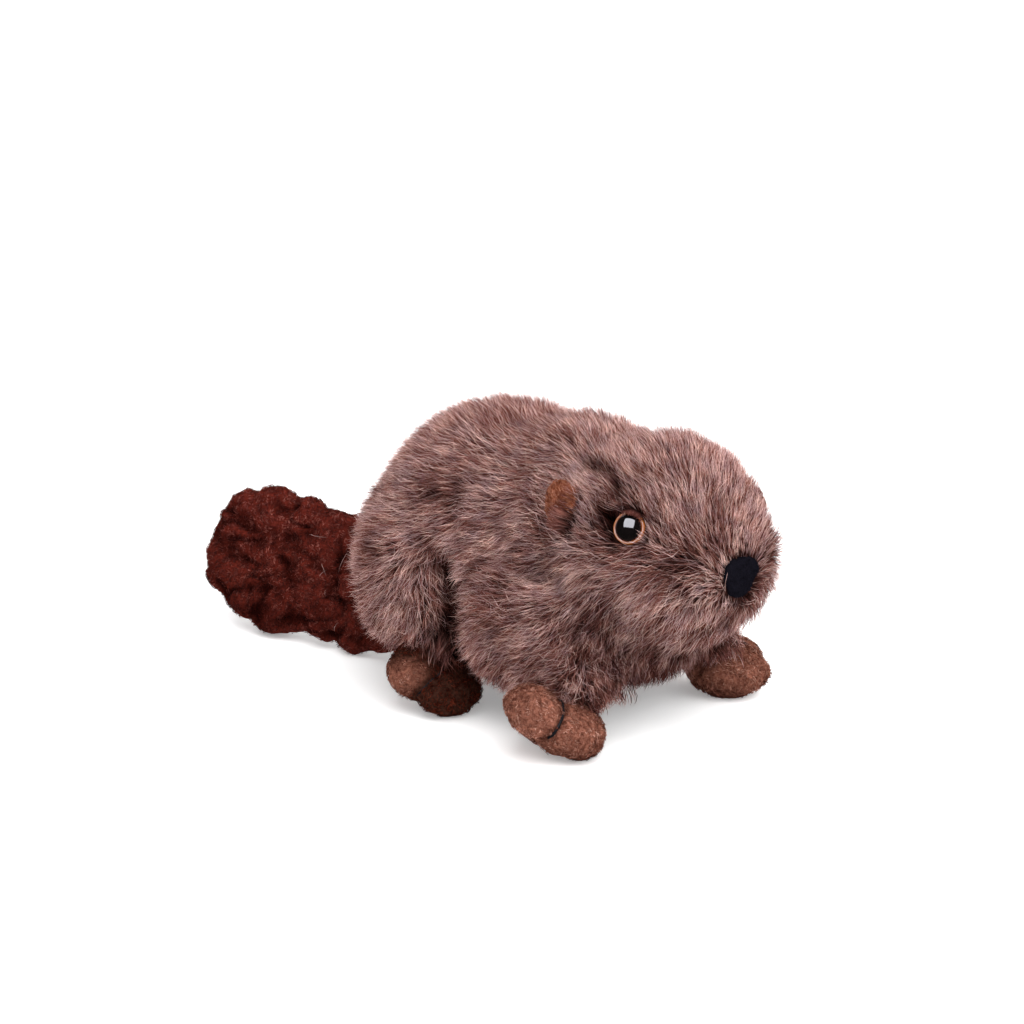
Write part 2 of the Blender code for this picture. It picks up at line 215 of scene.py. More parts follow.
# Short pile: how many tufts, and how long, upright, wide and untidy they are
TAIL_TUFTS = (24_000, 0.0018, 0.40, 0.00030, 1.1)
PAW_TUFTS = (5_000, 0.0018, 0.48, 0.00029, 0.9)
EAR_TUFTS = (1_800, 0.0017, 0.5, 0.00028, 0.5)
NOSE_TUFTS = (2_000, 0.0008, 0.5, 0.00022, 0.6)
FLAT_SOLE = 0.0006                     # below this height a paw is its flat sole
PAW_NAP = 0.0006
PAW_SEAM = 0.0130                      # from the paw's middle towards its front toe's end
FRONT_THREAD = -0.0012                 # how far towards the front toe each stitched line lies
HIND_THREAD = 0.0042
THREAD_BOW = 0.0060
THREAD_FROM = math.radians(78)         # the angles up the paw's outside from which the line
THREAD_TO = math.radians(-16)          # runs down, and where it ends
THREAD_STEPS = 40
THREAD_SIDES = 10
THREAD_RADIUS = 0.00050
HIND_THREAD_SHARE = 0.55               # the hind feet's thread is this share as thick
THREAD_TWIST = 0.6
THREAD_START = 0.05                    # how far outside a paw the search for its cloth starts
FRONT_GLOOM = 0.20                     # how much painted shade, cast as by the body, dims each kind of paw
HIND_GLOOM = 0.95
PUFF_LONG = 0.0210
PUFF_FLAT = 1.75                       # how much longer than high each of the tail's puffs is
PUFF_DEPTH = 0.0022
TAIL_NAP = 0.0008

# One eye's outline from its rim's back to the top of its dome: how far out from the axis, how
# high along it, as shares of the eye's radius
EYE_PROFILE = [
    (0.00, -0.55), (0.60, -0.50), (0.90, -0.30), (0.99, -0.08), (1.00, 0.06), (0.985, 0.13),
    (0.95, 0.17), (0.905, 0.175), (0.87, 0.16), (0.845, 0.17), (0.82, 0.24), (0.75, 0.36),
    (0.64, 0.46), (0.50, 0.54), (0.34, 0.60), (0.17, 0.635), (0.00, 0.645),
]
EYE_STEPS = 64

# What is left of the colour under full painted shade, as at the bottom of a furrow or a crease
SHADED = (0.130, 0.068, 0.060)
SHADED_NAP = (0.200, 0.075, 0.050)
SHADED_TAIL = (0.205, 0.075, 0.062)
PILE_GLOSS = 0.006

random = np.random.default_rng(7)


def placed(name, data):
    """A new object in the scene."""
    obj = bpy.data.objects.new(name, data)
    bpy.context.scene.collection.objects.link(obj)
    return obj


# ---- Materials ----


class Finish:
    """A material, with the few kinds of node that its look is made of."""

    def __init__(self, name, roughness, gloss):
        self.mat = bpy.data.materials.new(name)
        self.mat.use_nodes = True
        self.nodes = self.mat.node_tree.nodes
        self.links = self.mat.node_tree.links
        self.sockets = self.nodes["Principled BSDF"].inputs
        self.sockets["Roughness"].default_value = roughness
        self.sockets["Specular IOR Level"].default_value = gloss

    def attribute(self, name):
        node = self.nodes.new("ShaderNodeAttribute")
        node.attribute_name = name
        return node.outputs["Fac"]

    def ramp(self, value, stops):
        """A smooth run of colours along a value; a stop's colour may be a level of grey."""
        node = self.nodes.new("ShaderNodeValToRGB")
        band = node.color_ramp
        while len(band.elements) < len(stops):
            band.elements.new(0.5)
        for element, (place, colour) in zip(band.elements, stops):
            element.position = place
            element.color = (*np.broadcast_to(colour, 3), 1.0)
        self.links.new(value, node.inputs["Fac"])
        return node.outputs["Color"]

    def product(self, first, second):
        """Two colours multiplied."""
        node = self.nodes.new("ShaderNodeMix")
        node.data_type = "RGBA"
        node.blend_type = "MULTIPLY"
        node.inputs[0].default_value = 1.0
        self.links.new(first, node.inputs[6])
        self.links.new(second, node.inputs[7])
        return node.outputs[2]

    def noise(self, scale, detail=2.0, rough=0.5):
        place = self.nodes.new("ShaderNodeTexCoord")
        node = self.nodes.new("ShaderNodeTexNoise")
        node.inputs["Scale"].default_value = scale
        node.inputs["Detail"].default_value = detail
        node.inputs["Roughness"].default_value = rough
        self.links.new(place.outputs["Object"], node.inputs["Vector"])
        return node.outputs["Fac"]

    def bump(self, height, distance):
        node = self.nodes.new("ShaderNodeBump")
        node.inputs["Distance"].default_value = distance
        self.links.new(height, node.inputs["Height"])
        self.links.new(node.outputs["Normal"], self.sockets["Normal"])

    def coloured(self, colour):
        """The material itself, with its colour linked in."""
        self.links.new(colour, self.sockets["Base Color"])
        return self.mat


def pile_material(name, tones, tip_levels, patch, roughness, shaded):
    """Pile whose strands differ in tone, are dark at the root and light at the tip, and are darkened by the
    painted shade that they carry.
    """
    look = Finish(name, roughness, PILE_GLOSS)
    tone = look.ramp(look.attribute("tone"), tones)
    colour = look.product(tone, look.ramp(look.attribute("tip"), tip_levels))
    colour = look.product(colour, look.ramp(look.attribute("shade"), [(0.0, 1.0), (1.0, shaded)]))
    size, low, high = patch
    cloud = look.ramp(look.noise(size, 3.0), [(0.3, low), (0.7, high)])
    return look.coloured(look.product(colour, cloud))


def backing_material(name, dark, light, scale, depth):
    """The knitted cloth that pile or nap is rooted in, darkened by the painted shade that it carries."""
    look = Finish(name, 0.9, 0.0)
    grain = look.noise(scale, 4.0, 0.65)
    look.bump(grain, depth)
    shade = look.ramp(look.attribute("shade"), [(0.0, 1.0), (1.0, 0.15)])
    return look.coloured(look.product(look.ramp(grain, [(0.3, dark), (0.7, light)]), shade))


def thread_material():
    look = Finish("toe_thread", 0.55, 0.05)
    grain = look.noise(3000.0)
    look.bump(grain, 0.0001)
    return look.coloured(look.ramp(grain, [(0.3, (0.002, 0.002, 0.003)), (0.7, (0.006, 0.006, 0.008))]))


def eye_material():
    """Black pupil, amber ring that is uneven in width and tone, under a clear gloss."""
    look = Finish("eye_plastic", 0.06, 0.27)
    shift = look.nodes.new("ShaderNodeMath")
    shift.operation = "MULTIPLY_ADD"
    shift.inputs[1].default_value = 0.10
    look.links.new(look.noise(420.0), shift.inputs[0])
    look.links.new(look.attribute("out"), shift.inputs[2])
    black = (0.004, 0.003, 0.003)
    return look.coloured(look.ramp(shift.outputs[0], [
        (0.0, black), (0.855, black), (0.885, (0.16, 0.042, 0.012)), (1.0, (0.30, 0.092, 0.026)),
    ]))


LONG_PILE = pile_material(
    "long_pile",
    [
        (0.0, (0.024, 0.006, 0.005)), (0.35, (0.138, 0.047, 0.038)),
        (0.65, (0.345, 0.148, 0.128)), (1.0, (0.860, 0.590, 0.560)),
    ],
    [(0.0, 0.06), (0.35, 0.33), (0.70, 0.98), (1.0, 1.36)],
    (190.0, (0.70, 0.67, 0.72), (1.24, 1.20, 1.09)), 0.7, SHADED,
)
NAP = pile_material(
    "short_nap",
    [(0.0, (0.060, 0.017, 0.010)), (0.5, (0.285, 0.112, 0.076)), (1.0, (0.900, 0.530, 0.420))],
    [(0.0, 0.45), (1.0, 1.22)],
    (240.0, (0.56, 0.50, 0.47), (1.38, 1.36, 1.34)), 0.8, SHADED_NAP,
)
EAR_NAP = pile_material(
    "ear_nap",
    [(0.0, (0.110, 0.029, 0.015)), (0.5, (0.300, 0.098, 0.055)), (1.0, (0.560, 0.240, 0.150))],
    [(0.0, 0.55), (1.0, 1.2)],
    (420.0, 0.55, 1.25), 0.8, SHADED,
)
TAIL_PILE = pile_material(
    "tail_pile",
    [(0.0, (0.024, 0.005, 0.004)), (0.55, (0.138, 0.032, 0.025)), (1.0, (0.420, 0.145, 0.116))],
    [(0.0, 0.45), (0.5, 0.80), (1.0, 1.15)],
    (130.0, (0.46, 0.44, 0.45), (1.42, 1.42, 1.42)), 0.85, SHADED_TAIL,
)
NOSE_NAP = pile_material(
    "nose_nap",
    [(0.0, (0.003, 0.003, 0.005)), (1.0, (0.014, 0.012, 0.018))],
    [(0.0, 0.8), (1.0, 1.0)],
    (500.0, 0.8, 1.1), 0.9, SHADED,
)
BACKING = backing_material("long_backing", (0.016, 0.006, 0.005), (0.040, 0.016, 0.013), 900.0, 0.0003)
NAP_CLOTH = backing_material("short_cloth", (0.080, 0.024, 0.014), (0.380, 0.152, 0.104), 900.0, 0.0004)
EAR_CLOTH = backing_material("ear_cloth", (0.120, 0.032, 0.015), (0.290, 0.092, 0.050), 900.0, 0.0004)
TAIL_CLOTH = backing_material("tail_cloth", (0.044, 0.005, 0.003), (0.130, 0.022, 0.015), 900.0, 0.0005)
NOSE_CLOTH = backing_material("nose_cloth", (0.003, 0.003, 0.005), (0.009, 0.008, 0.012), 2500.0, 0.0002)
THREAD = thread_material()
EYE = eye_material()

# ---- Camera, light and floor ----


def stood_off(name, data, way, distance):
    """A camera or a light that stands off in a direction and looks at the toy."""
    obj = placed(name, data)
    aim = Vector(way).normalized()
    obj.location = Vector(CAMERA_TARGET) + aim * distance
    obj.rotation_mode = "QUATERNION"
    obj.rotation_quaternion = (-aim).to_track_quat("-Z", "Y")
    return obj


def make_camera():
    data = bpy.data.cameras.new("camera")
    data.lens = LENS
    data.shift_x, data.shift_y = CAMERA_SHIFT
    data.clip_start, data.clip_end = CAMERA_CLIP
    level = math.cos(CAMERA_ELEVATION)
    ahead = math.sin(CAMERA_AZIMUTH) * level
    aside = -math.cos(CAMERA_AZIMUTH) * level
    way = (ahead, aside, math.sin(CAMERA_ELEVATION))
    bpy.context.scene.camera = stood_off("camera", data, way, CAMERA_DISTANCE)


def make_studio():
    scene = bpy.context.scene
    scene.view_settings.view_transform = "Standard"
    scene.view_settings.look = "None"
    world = bpy.data.worlds.new("studio")
    scene.world = world
    world.use_nodes = True
    sky = world.node_tree.nodes["Background"]
    sky.inputs["Color"].default_value = (1.0, 1.0, 1.0, 1.0)
    sky.inputs["Strength"].default_value = SKY
    world.cycles_visibility.glossy = False
    for name, way, strength, width in SUNS:
        data = bpy.data.lights.new(name, "SUN")
        data.energy = strength
        data.angle = math.radians(width)
        stood_off(name, data, way, SUN_DISTANCE).visible_glossy = False
    data = bpy.data.lights.new("window", "AREA")
    data.shape = "RECTANGLE"
    data.size, data.size_y = WINDOW_SIZE
    data.energy = WINDOW_WATTS
    data.color = WINDOW_TINT
    stood_off("window", data, WINDOW_WAY, WINDOW_DISTANCE).visible_diffuse = False
    mesh = bpy.data.meshes.new("floor")
    corners = [(x * FLOOR_HALF, y * FLOOR_HALF, 0.0) for x, y in ((-1, -1), (1, -1), (1, 1), (-1, 1))]
    mesh.from_pydata(corners, [], [(0, 1, 2, 3)])
    paper = Finish("floor_paper", 0.9, 0.0)
    paper.sockets["Base Color"].default_value = FLOOR_PAPER
    paper.sockets["Emission Color"].default_value = (1.0, 1.0, 1.0, 1.0)
    paper.sockets["Emission Strength"].default_value = FLOOR_GLOW
    mesh.materials.append(paper.mat)
    floor = placed("floor", mesh)
    floor.visible_glossy = False


# ---- Meshes as arrays ----


def read(items, field, width, kind=np.float32):
    """One field of each of a mesh's items, as an array with a row for each."""
    out = np.empty(len(items) * width, kind)
    items.foreach_get(field, out)
    return out.reshape(-1, width)


def vertices_of(mesh):
    return read(mesh.vertices, "co", 3).astype(np.float64)


def normals_of(mesh):
    return read(mesh.vertices, "normal", 3).astype(np.float64)


def edges_of(mesh):
    return read(mesh.edges, "vertices", 2, np.int32)


def triangles_of(mesh):
    mesh.calc_loop_triangles()
    return read(mesh.loop_triangles, "vertices", 3, np.int32)


def tree_of(mesh):
    return BVHTree.FromPolygons([v.co for v in mesh.vertices], [p.vertices for p in mesh.polygons])


def put_vertices(mesh, points):
    mesh.vertices.foreach_set("co", points.astype(np.float32).ravel())
    mesh.update()


def put_attribute(mesh, name, values):
    layer = mesh.attributes.new(name, "FLOAT", "POINT")
    layer.data.foreach_set("value", values.astype(np.float32))


def clamped(values):
    return np.clip(values, 0.0, 1.0)


def size_of(vectors):
    return np.linalg.norm(vectors, axis=-1)


def unit(vectors):
    return vectors / np.maximum(size_of(vectors)[..., None], 1e-9)


def dot(first, second):
    return np.sum(first * second, axis=1)


def turned(first, second, angle):
    """The way at an angle from one way towards another that is square to it."""
    return first * math.cos(angle) + second * math.sin(angle)


def ring_angles(corners):
    return [2 * math.pi * corner / corners for corner in range(corners)]


def along_surface(vectors, normals):
    """The part of each vector that lies in the surface, as a unit vector."""
    return unit(vectors - normals * dot(vectors, normals)[:, None])


def across_axis(vectors, axis):
    """The part of each vector that is square to an axis."""
    return vectors - (vectors @ axis)[:, None] * axis


def smooth_step(low, high, values):
    t = clamped((values - low) / (high - low))
    return t * t * (3.0 - 2.0 * t)


def towards(value, goal, weight):
    return value + (goal - value) * weight


def mirrored(place, side):
    return np.array(place) * (1.0, side, 1.0)


def ripple(points, size, seed):
    """Smooth, repeatable noise from about -1 to 1 with waves of about this size."""
    own = np.random.default_rng(seed)
    total = np.zeros(len(points))
    waves = 7
    for _ in range(waves):
        way = unit(own.normal(size=(1, 3)))[0]
        turns = 2.0 * math.pi / (size * own.uniform(0.7, 1.5))
        total += np.sin(points @ way * turns + own.uniform(0.0, 2.0 * math.pi))
    return total / math.sqrt(waves / 2.0) * 0.7


def ripple_vectors(points, size, seed):
    return np.stack([ripple(points, size, seed + axis) for axis in range(3)], axis=1)


def relaxed(points, edges, rounds):
    """Points moved to the middle of their neighbours again and again."""
    count = np.bincount(edges.ravel(), minlength=len(points))[:, None]
    for _ in range(rounds):
        total = np.zeros_like(points)
        for axis in range(3):
            total[:, axis] += np.bincount(edges[:, 0], points[edges[:, 1], axis], len(points))
            total[:, axis] += np.bincount(edges[:, 1], points[edges[:, 0], axis], len(points))
        points = 0.5 * points + 0.5 * total / np.maximum(count, 1)
    return points


def close_to(points, centre, inner, outer):
    """1 within the inner distance of a place, falling to 0 at the outer distance."""
    return 1.0 - smooth_step(inner, outer, size_of(points - centre))


def close_to_path(points, path, inner, outer):
    """As close_to, for a line through several places."""
    best = np.zeros(len(points))
    for start, end in zip(path, path[1:]):
        way = end - start
        share = clamped((points - start) @ way / (way @ way))
        near = start + share[:, None] * way
        best = np.maximum(best, close_to(points, near, inner, outer))
    return best


def distance_to(points, nodes):
    """How far each point is from the nearest of some CAD solids; inside them it is below 0."""
    closest = np.full(len(points), 1.0)
    for node in nodes:
        tree = tree_of(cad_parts[node].data)
        for number, point in enumerate(points):
            hit, normal, _, far = tree.find_nearest(point)
            if (Vector(point) - hit).dot(normal) < 0.0:
                far = -far
            closest[number] = min(closest[number], far)
    return closest


# ---- Pieces ----


def finish_piece(obj, mat):
    obj.data.materials.clear()
    obj.data.materials.append(mat)
    obj.data.shade_smooth()
    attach(obj, "root")


def melted(name, nodes, grain, rounds, swell=0.0):
    """One closed skin over the CAD solids named, at a grain, smoothed this many times."""
    shape = bmesh.new()
    for node in nodes:
        first = len(shape.verts)
        shape.from_mesh(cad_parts[node].data)
        shape.verts.ensure_lookup_table()
        shape.normal_update()
        for vert in shape.verts[first:]:
            vert.co += vert.normal * swell
    mesh = bpy.data.meshes.new(name)
    shape.to_mesh(mesh)
    shape.free()
    source = placed(name, mesh)
    melt = source.modifiers.new("Melt", "REMESH")
    melt.mode = "VOXEL"
    melt.voxel_size = grain
    soften = source.modifiers.new("Soften", "SMOOTH")
    soften.iterations = rounds
    graph = bpy.context.evaluated_depsgraph_get()
    mesh = bpy.data.meshes.new_from_object(source.evaluated_get(graph))
    bpy.data.objects.remove(source, do_unlink=True)
    return placed(name, mesh)


def spindle_faces(corners, rings):
    """The faces of a shape with a point at each end and rings of corners between them."""
    faces = []
    last_ring = 1 + corners * (rings - 1)
    for corner in range(corners):
        after = (corner + 1) % corners
        faces.append((0, 1 + after, 1 + corner))
        for a in range(1, last_ring, corners):
            faces.append((a + corner, a + after, a + corners + after, a + corners + corner))
        faces.append((last_ring + corner, last_ring + after, last_ring + corners))
    return faces


def closed_piece(name, verts, faces):
    """An object from vertices and faces, with all its faces turned outward."""
    mesh = bpy.data.meshes.new(name)
    mesh.from_pydata([tuple(v) for v in verts], [], faces)
    shape = bmesh.new()
    shape.from_mesh(mesh)
    bmesh.ops.recalc_face_normals(shape, faces=shape.faces)
    shape.to_mesh(mesh)
    shape.free()
    return placed(name, mesh)


# ---- Where things are ----


def middle(node):
    low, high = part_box(node)
    return (np.array(low) + np.array(high)) / 2.0


def eye_axis(side):
    """The way an eye looks out of the head."""
    angle = HEAD_TURN + side * EYE_ROUND
    level = math.cos(EYE_UP)
    return np.array((math.cos(angle) * level, math.sin(angle) * level, math.sin(EYE_UP)))


def on_head(places, side):
    """Places on the head, given as angles in degrees round it from the nose and up it."""
    turn = HEAD_TURN + side * np.radians([place[0] for place in places])
    rise = np.radians([place[1] for place in places])
    way = np.stack([np.cos(turn) * np.cos(rise), np.sin(turn) * np.cos(rise), np.sin(rise)], axis=1)
    return HEAD + BROW_OUT * way


NOSE = middle("nose")
FACING = np.array((math.cos(HEAD_TURN), math.sin(HEAD_TURN), 0.0))
SNOUT = FACING * math.cos(NOSE_UP) + UP * math.sin(NOSE_UP)
TO_RIGHT = np.array((FACING[1], -FACING[0], 0.0))
HEAD = NOSE - NOSE_OUT * SNOUT
PAD = NOSE + UP * NOSE_RAISED + TO_RIGHT * NOSE_ASIDE
EARS = {word: middle("ear_" + word) for word in SIDES}
HAUNCHES = {word: middle("haunch_" + word) for word in SIDES}
LEGS = {word: middle("front_leg_" + word) for word in SIDES}
EYES = {
    word: middle("eye_" + word) + UP * EYE_RAISED - eye_axis(side) * EYE_SUNK
    for word, side in SIDES.items()
}

# ---- The body's skin and the lie of its pile ----


def pile_depth(points):
    """The depth of the long pile over each place."""
    depth = towards(BODY_DEPTH, HEAD_DEPTH, close_to(points, HEAD, 0.040, 0.056))
    depth = towards(depth, LEG_DEPTH, 1.0 - smooth_step(0.020, 0.042, points[:, 2]))
    for eye in EYES.values():
        depth = towards(depth, EYE_SIDE_DEPTH, close_to(points, eye, 0.0065, 0.0125))
    return towards(depth, NOSE_SIDE_DEPTH, close_to(points, NOSE, 0.008, 0.026))


def furrows(points):
    """How far each place lies in a groove beside a haunch, in a furrow of the head, and behind an eye."""
    groove, brow, wake = np.zeros((3, len(points)))
    for side in SIDES.values():
        path = [np.array((x, side * GROOVE_OUT, z)) for x, z in GROOVE]
        groove = np.maximum(groove, close_to_path(points, path, 0.0030, 0.0095))
        brow = np.maximum(brow, close_to_path(points, on_head(BROW, side), 0.0012, 0.0046))
        parting = close_to_path(points, on_head(PARTING, side), 0.0006, 0.0036)
        brow = np.maximum(brow, PARTING_SHARE * parting)
        wake = np.maximum(wake, close_to(points, on_head([WAKE], side), 0.0016, 0.0066))
    return groove, brow, wake


def painted_dimness(points):
    """How much painted shade each place gets: under the chin of the chest, in the neck's folds, in patches
    low on the body, and round the eye sockets.
    """
    painted_dim = close_to(points, np.array(CHEST), 0.020, 0.042)
    painted_dim *= 1.0 - smooth_step(0.026, 0.037, points[:, 2])
    for side in SIDES.values():
        path = [mirrored(place, side) for place in NECK]
        painted_dim = np.maximum(painted_dim, 0.62 * close_to_path(points, path, 0.0020, 0.0110))
    shade_pockets = smooth_step(0.35, 1.0, ripple(points, 0.016, 181))
    low = 1.0 - smooth_step(0.045, 0.070, points[:, 2])
    painted_dim = clamped(painted_dim * (0.90 + 0.35 * ripple(points, 0.009, 191)) + 0.35 * shade_pockets * low)
    for eye in EYES.values():
        socket = eye - FACING * SOCKET_BACK - UP * SOCKET_DOWN
        painted_dim = painted_dim + 0.32 * close_to(points, socket, 0.0070, 0.0170)
    return painted_dim


def raised(points):
    """How much fuller than their solids the head and the back are at each place."""
    ridge = np.zeros(len(points))
    for side in SIDES.values():
        ridge = np.maximum(ridge, close_to(points, on_head([RIDGE], side), 0.004, 0.022))
    ridge *= RIDGE_RAISED * (1.0 - close_to(points, NOSE, 0.009, 0.018))
    return ridge + WITHERS_RAISED * close_to(points, np.array(WITHERS), 0.012, 0.036)


def pile_stand(points, normals):
    """The height of the pile as a share of its length."""
    stand = towards(BODY_STAND, FACE_STAND, close_to(points, HEAD, 0.042, 0.054))
    return towards(stand, CREST_STAND, smooth_step(0.30, 0.90, normals[:, 2]))


def pile_wildness(points):
    """How untidily the pile lies: neat on the face, ruffled on the flanks and the sleeves."""
    wild = 0.22 + 0.34 * (1.0 - smooth_step(0.030, 0.062, points[:, 2]))
    wild = towards(wild, 0.13, close_to(points, HEAD, 0.040, 0.052))
    for eye in EYES.values():
        wild = np.maximum(wild, 0.36 * close_to(points, eye, 0.0075, 0.0140))
    return wild


def body_flow(points):
    """The way the pile lies over the body: back and down, fanned over each haunch and sleeve."""
    flow = np.tile((-1.0, 0.0, -0.16), (len(points), 1))
    flow[:, 2] -= 0.30 * smooth_step(0.010, 0.045, np.abs(points[:, 1]))
    rear = smooth_step(-0.015, -0.045, points[:, 0])
    flow[:, 2] -= 0.40 * rear * (1.0 - smooth_step(0.060, 0.095, points[:, 2]))
    for word, side in SIDES.items():
        away = points - HAUNCHES[word]
        flat = size_of(away[:, [0, 2]])
        weight = (1.0 - smooth_step(0.020, 0.036, flat)) * (points[:, 1] * side > 0.012)
        front = smooth_step(-0.012, 0.022, away[:, 0])
        low = smooth_step(0.012, -0.022, away[:, 2])
        fan = np.stack([-1.0 + 0.70 * front, 0.0 * front, -0.25 - 1.0 * front - 0.1 * low], axis=1)
        flow = towards(flow, fan, weight[:, None])
        weight = close_to(points, LEGS[word], 0.020, 0.034)
        weight *= 1.0 - smooth_step(0.032, 0.052, points[:, 2])
        flow = towards(flow, np.array((-0.55, 0.25 * side, -0.95)), weight[:, None])
        weight = close_to(points, mirrored(SHOULDER, side), 0.012, 0.030)
        flow = towards(flow, np.array((-0.55, 0.0, -0.80)), weight[:, None])
    return flow


def pile_flow(points, normals):
    """The way the long pile lies at each place: over the body, from the nose, and round the eyes."""
    flow = body_flow(points)
    face = (points - (NOSE - FACING * 0.012)) * (1.0, 1.0, 1.5)
    below = smooth_step(0.016, -0.008, points[:, 2] - NOSE[2])
    below *= smooth_step(0.010, 0.030, np.abs((points - NOSE) @ TO_RIGHT))
    face = unit(face) - UP * (1.05 * below)[:, None]
    weight = close_to(points, HEAD, 0.044, 0.058)
    weight = np.maximum(weight, close_to(points, NOSE, 0.050, 0.075))
    weight *= smooth_step(-0.034, -0.012, (points - HEAD) @ FACING)
    flow = towards(flow, face, weight[:, None])
    for word, side in SIDES.items():
        away = across_axis(points - EYES[word], eye_axis(side))
        far = np.maximum(size_of(away), EYE_RADIUS)
        out = away / far[:, None]
        lie = along_surface(flow, normals)
        turn = lie - (2.0 * dot(lie, out))[:, None] * out
        same_side = close_to(points, EYES[word], 0.014, 0.026)
        flow = lie + turn * ((EYE_RADIUS * 1.15 / far) ** 2 * same_side)[:, None]
    return along_surface(flow + 0.22 * ripple_vectors(points, 0.030, 11), normals)


def make_body_skin():
    """The one skin of the long-pile cloth, with what its pile needs to know at each vertex."""
    skin = melted("body_skin", LONG_NODES + list(PAW_POSES) + FACE_NODES, BODY_GRAIN, 5, SWELL)
    mesh = skin.data
    outer = vertices_of(mesh)
    edges = edges_of(mesh)
    normals = normals_of(mesh)
    outer += normals * raised(outer)[:, None]
    smooth = relaxed(outer, edges, 30)
    # How hollow each place is: it shortens the pile and is darkened with painted shade
    hollow_shade = smooth_step(0.0004, 0.0030, dot(smooth - outer, normals))
    groove, brow, wake = furrows(outer)
    inner = relaxed(outer - normals * (pile_depth(outer) + SWELL)[:, None], edges, 6)
    depth = np.clip(dot(outer - inner, normals) - SWELL, LEAST_DEPTH, MOST_DEPTH)
    carved = GROOVE_CARVED * groove + BROW_CARVED * brow + WAKE_CARVED * wake
    put_vertices(mesh, inner - normals * carved[:, None])
    # Painted shade on the skin in its hollows, the grooves, the head's furrows and behind the eyes
    put_attribute(mesh, "shade", clamped(hollow_shade + groove + 0.5 * brow + 0.5 * wake))
    finish_piece(skin, BACKING)
    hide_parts(*LONG_NODES)
    return mesh, outer, hollow_shade, depth


# ---- Strands ----


def scattered(points, triangles, weights, count):
    """Random places on a surface: a reader of vertex values there, and one vertex beside each."""
    a, b, c = (points[triangles[:, k]] for k in range(3))
    area = size_of(np.cross(b - a, c - a)) * weights
    corners = triangles[random.choice(len(triangles), count, p=area / area.sum())]
    r1 = np.sqrt(random.random(count))
    r2 = random.random(count)
    shares = np.stack([1.0 - r1, r1 * (1.0 - r2), r1 * r2], axis=1)

    def at(values):
        if values.ndim == 1:
            return np.sum(values[corners] * shares, axis=1)
        return np.sum(values[corners] * shares[:, :, None], axis=1)

    return at, corners[:, 0]


def leaning(normals, lie, stand):
    """Directions that stand off a surface by a share and lie along it for the rest."""
    return normals * stand[:, None] + lie * np.sqrt(1 - stand ** 2)[:, None]


def swung(ways, scale, lengths):
    """Random steps aside, in proportion to each strand's length."""
    return ways * (random.normal(scale=scale, size=len(lengths)) * lengths)[:, None]


def nearest(places, points):
    """For each point, the number of the nearest of some places, and how far it is."""
    tree = KDTree(len(places))
    for number, place in enumerate(places):
        tree.insert(place, number)
    tree.balance()
    found = [tree.find(point) for point in points]
    return np.array([number for _, number, _ in found]), np.array([far for _, _, far in found])


def gathered(roots, tips, share, pull):
    """Tips drawn together into locks: each leans towards the tip of the nearest leader."""
    leaders = random.choice(len(roots), max(1, int(len(roots) * share)), replace=False)
    own = leaders[nearest(roots[leaders], roots)[0]]
    return towards(tips, tips[own], np.broadcast_to(pull, len(roots))[:, None]), own


def unwrapped(roots, normals):
    """An unwrap of the skin in six flat charts, one for each way that it faces."""
    low, high = (np.array(corner) for corner in CAD_BOX)
    share = (roots - low) / (high - low).max()
    axis = np.argmax(np.abs(normals), axis=1)
    negative = normals[np.arange(len(roots)), axis] < 0.0
    across = np.where(axis == 0, share[:, 1], share[:, 0])
    up = np.where(axis == 2, share[:, 1], share[:, 2])
    return np.stack([(axis + across) / 3.0, (negative + up) / 2.0], axis=1)


def make_strands(name, roots, normals, bends, tips, widths, rings, tone, shade, mat, kinks=0.0):
    """Closed slender strands: a point at the root, rings of three, and a point at the tip."""
    count = len(roots)
    rows = []
    heights = []
    for number, t in enumerate([0.0, *rings, 1.0]):
        centre = roots * (1 - t) ** 2 + bends * (2 * t * (1 - t)) + tips * t ** 2
        ring = [centre]
        if 0.0 < t < 1.0:
            centre = centre + kinks * (1.0 if number % 2 else -1.0)
            way = unit((bends - roots) * (1 - t) + (tips - bends) * t)
            side = unit(np.cross(way, normals + 0.01))
            other = np.cross(way, side)
            full = (widths / 2 * (1.0 - max(0.0, t - 0.35) * 0.9))[:, None]
            ring = [centre + turned(side, other, angle) * full for angle in ring_angles(3)]
        rows.append(np.stack(ring, axis=1))
        heights.append(np.full((count, len(ring)), t))
    points = np.concatenate(rows, axis=1)
    along = np.concatenate(heights, axis=1).ravel()
    each = points.shape[1]
    faces = []
    for face in spindle_faces(3, len(rings)):
        faces += [(face[0], face[k], face[k + 1]) for k in range(1, len(face) - 1)]
    index = (np.arange(count)[:, None, None] * each + np.array(faces)[None]).reshape(-1, 3)
    points = points.reshape(-1, 3)
    points[:, 2] = np.maximum(points[:, 2], 0.0002)
    mesh = bpy.data.meshes.new(name)
    mesh.vertices.add(len(points))
    mesh.vertices.foreach_set("co", points.astype(np.float32).ravel())
    mesh.loops.add(index.size)
    mesh.loops.foreach_set("vertex_index", index.astype(np.int32).ravel())
    mesh.polygons.add(len(index))
    mesh.polygons.foreach_set("loop_start", np.arange(0, index.size, 3, dtype=np.int32))
    mesh.update(calc_edges=True)
    put_attribute(mesh, "tip", along)
    put_attribute(mesh, "tone", np.repeat(tone, each))
    put_attribute(mesh, "shade", np.repeat(shade, each))
    corner_turn = np.zeros(each)
    corner_turn[1:-1] = np.arange(each - 2) % 3 / 2.0
    patch = np.stack([np.tile(corner_turn, count), along], axis=1) * UV_PATCH
    places = np.repeat(unwrapped(roots, normals), each, axis=0) + patch
    layer = mesh.uv_layers.new(name="OFBake")
    layer.data.foreach_set("uv", places[index.ravel()].astype(np.float32).ravel())
    finish_piece(placed(name, mesh), mat)


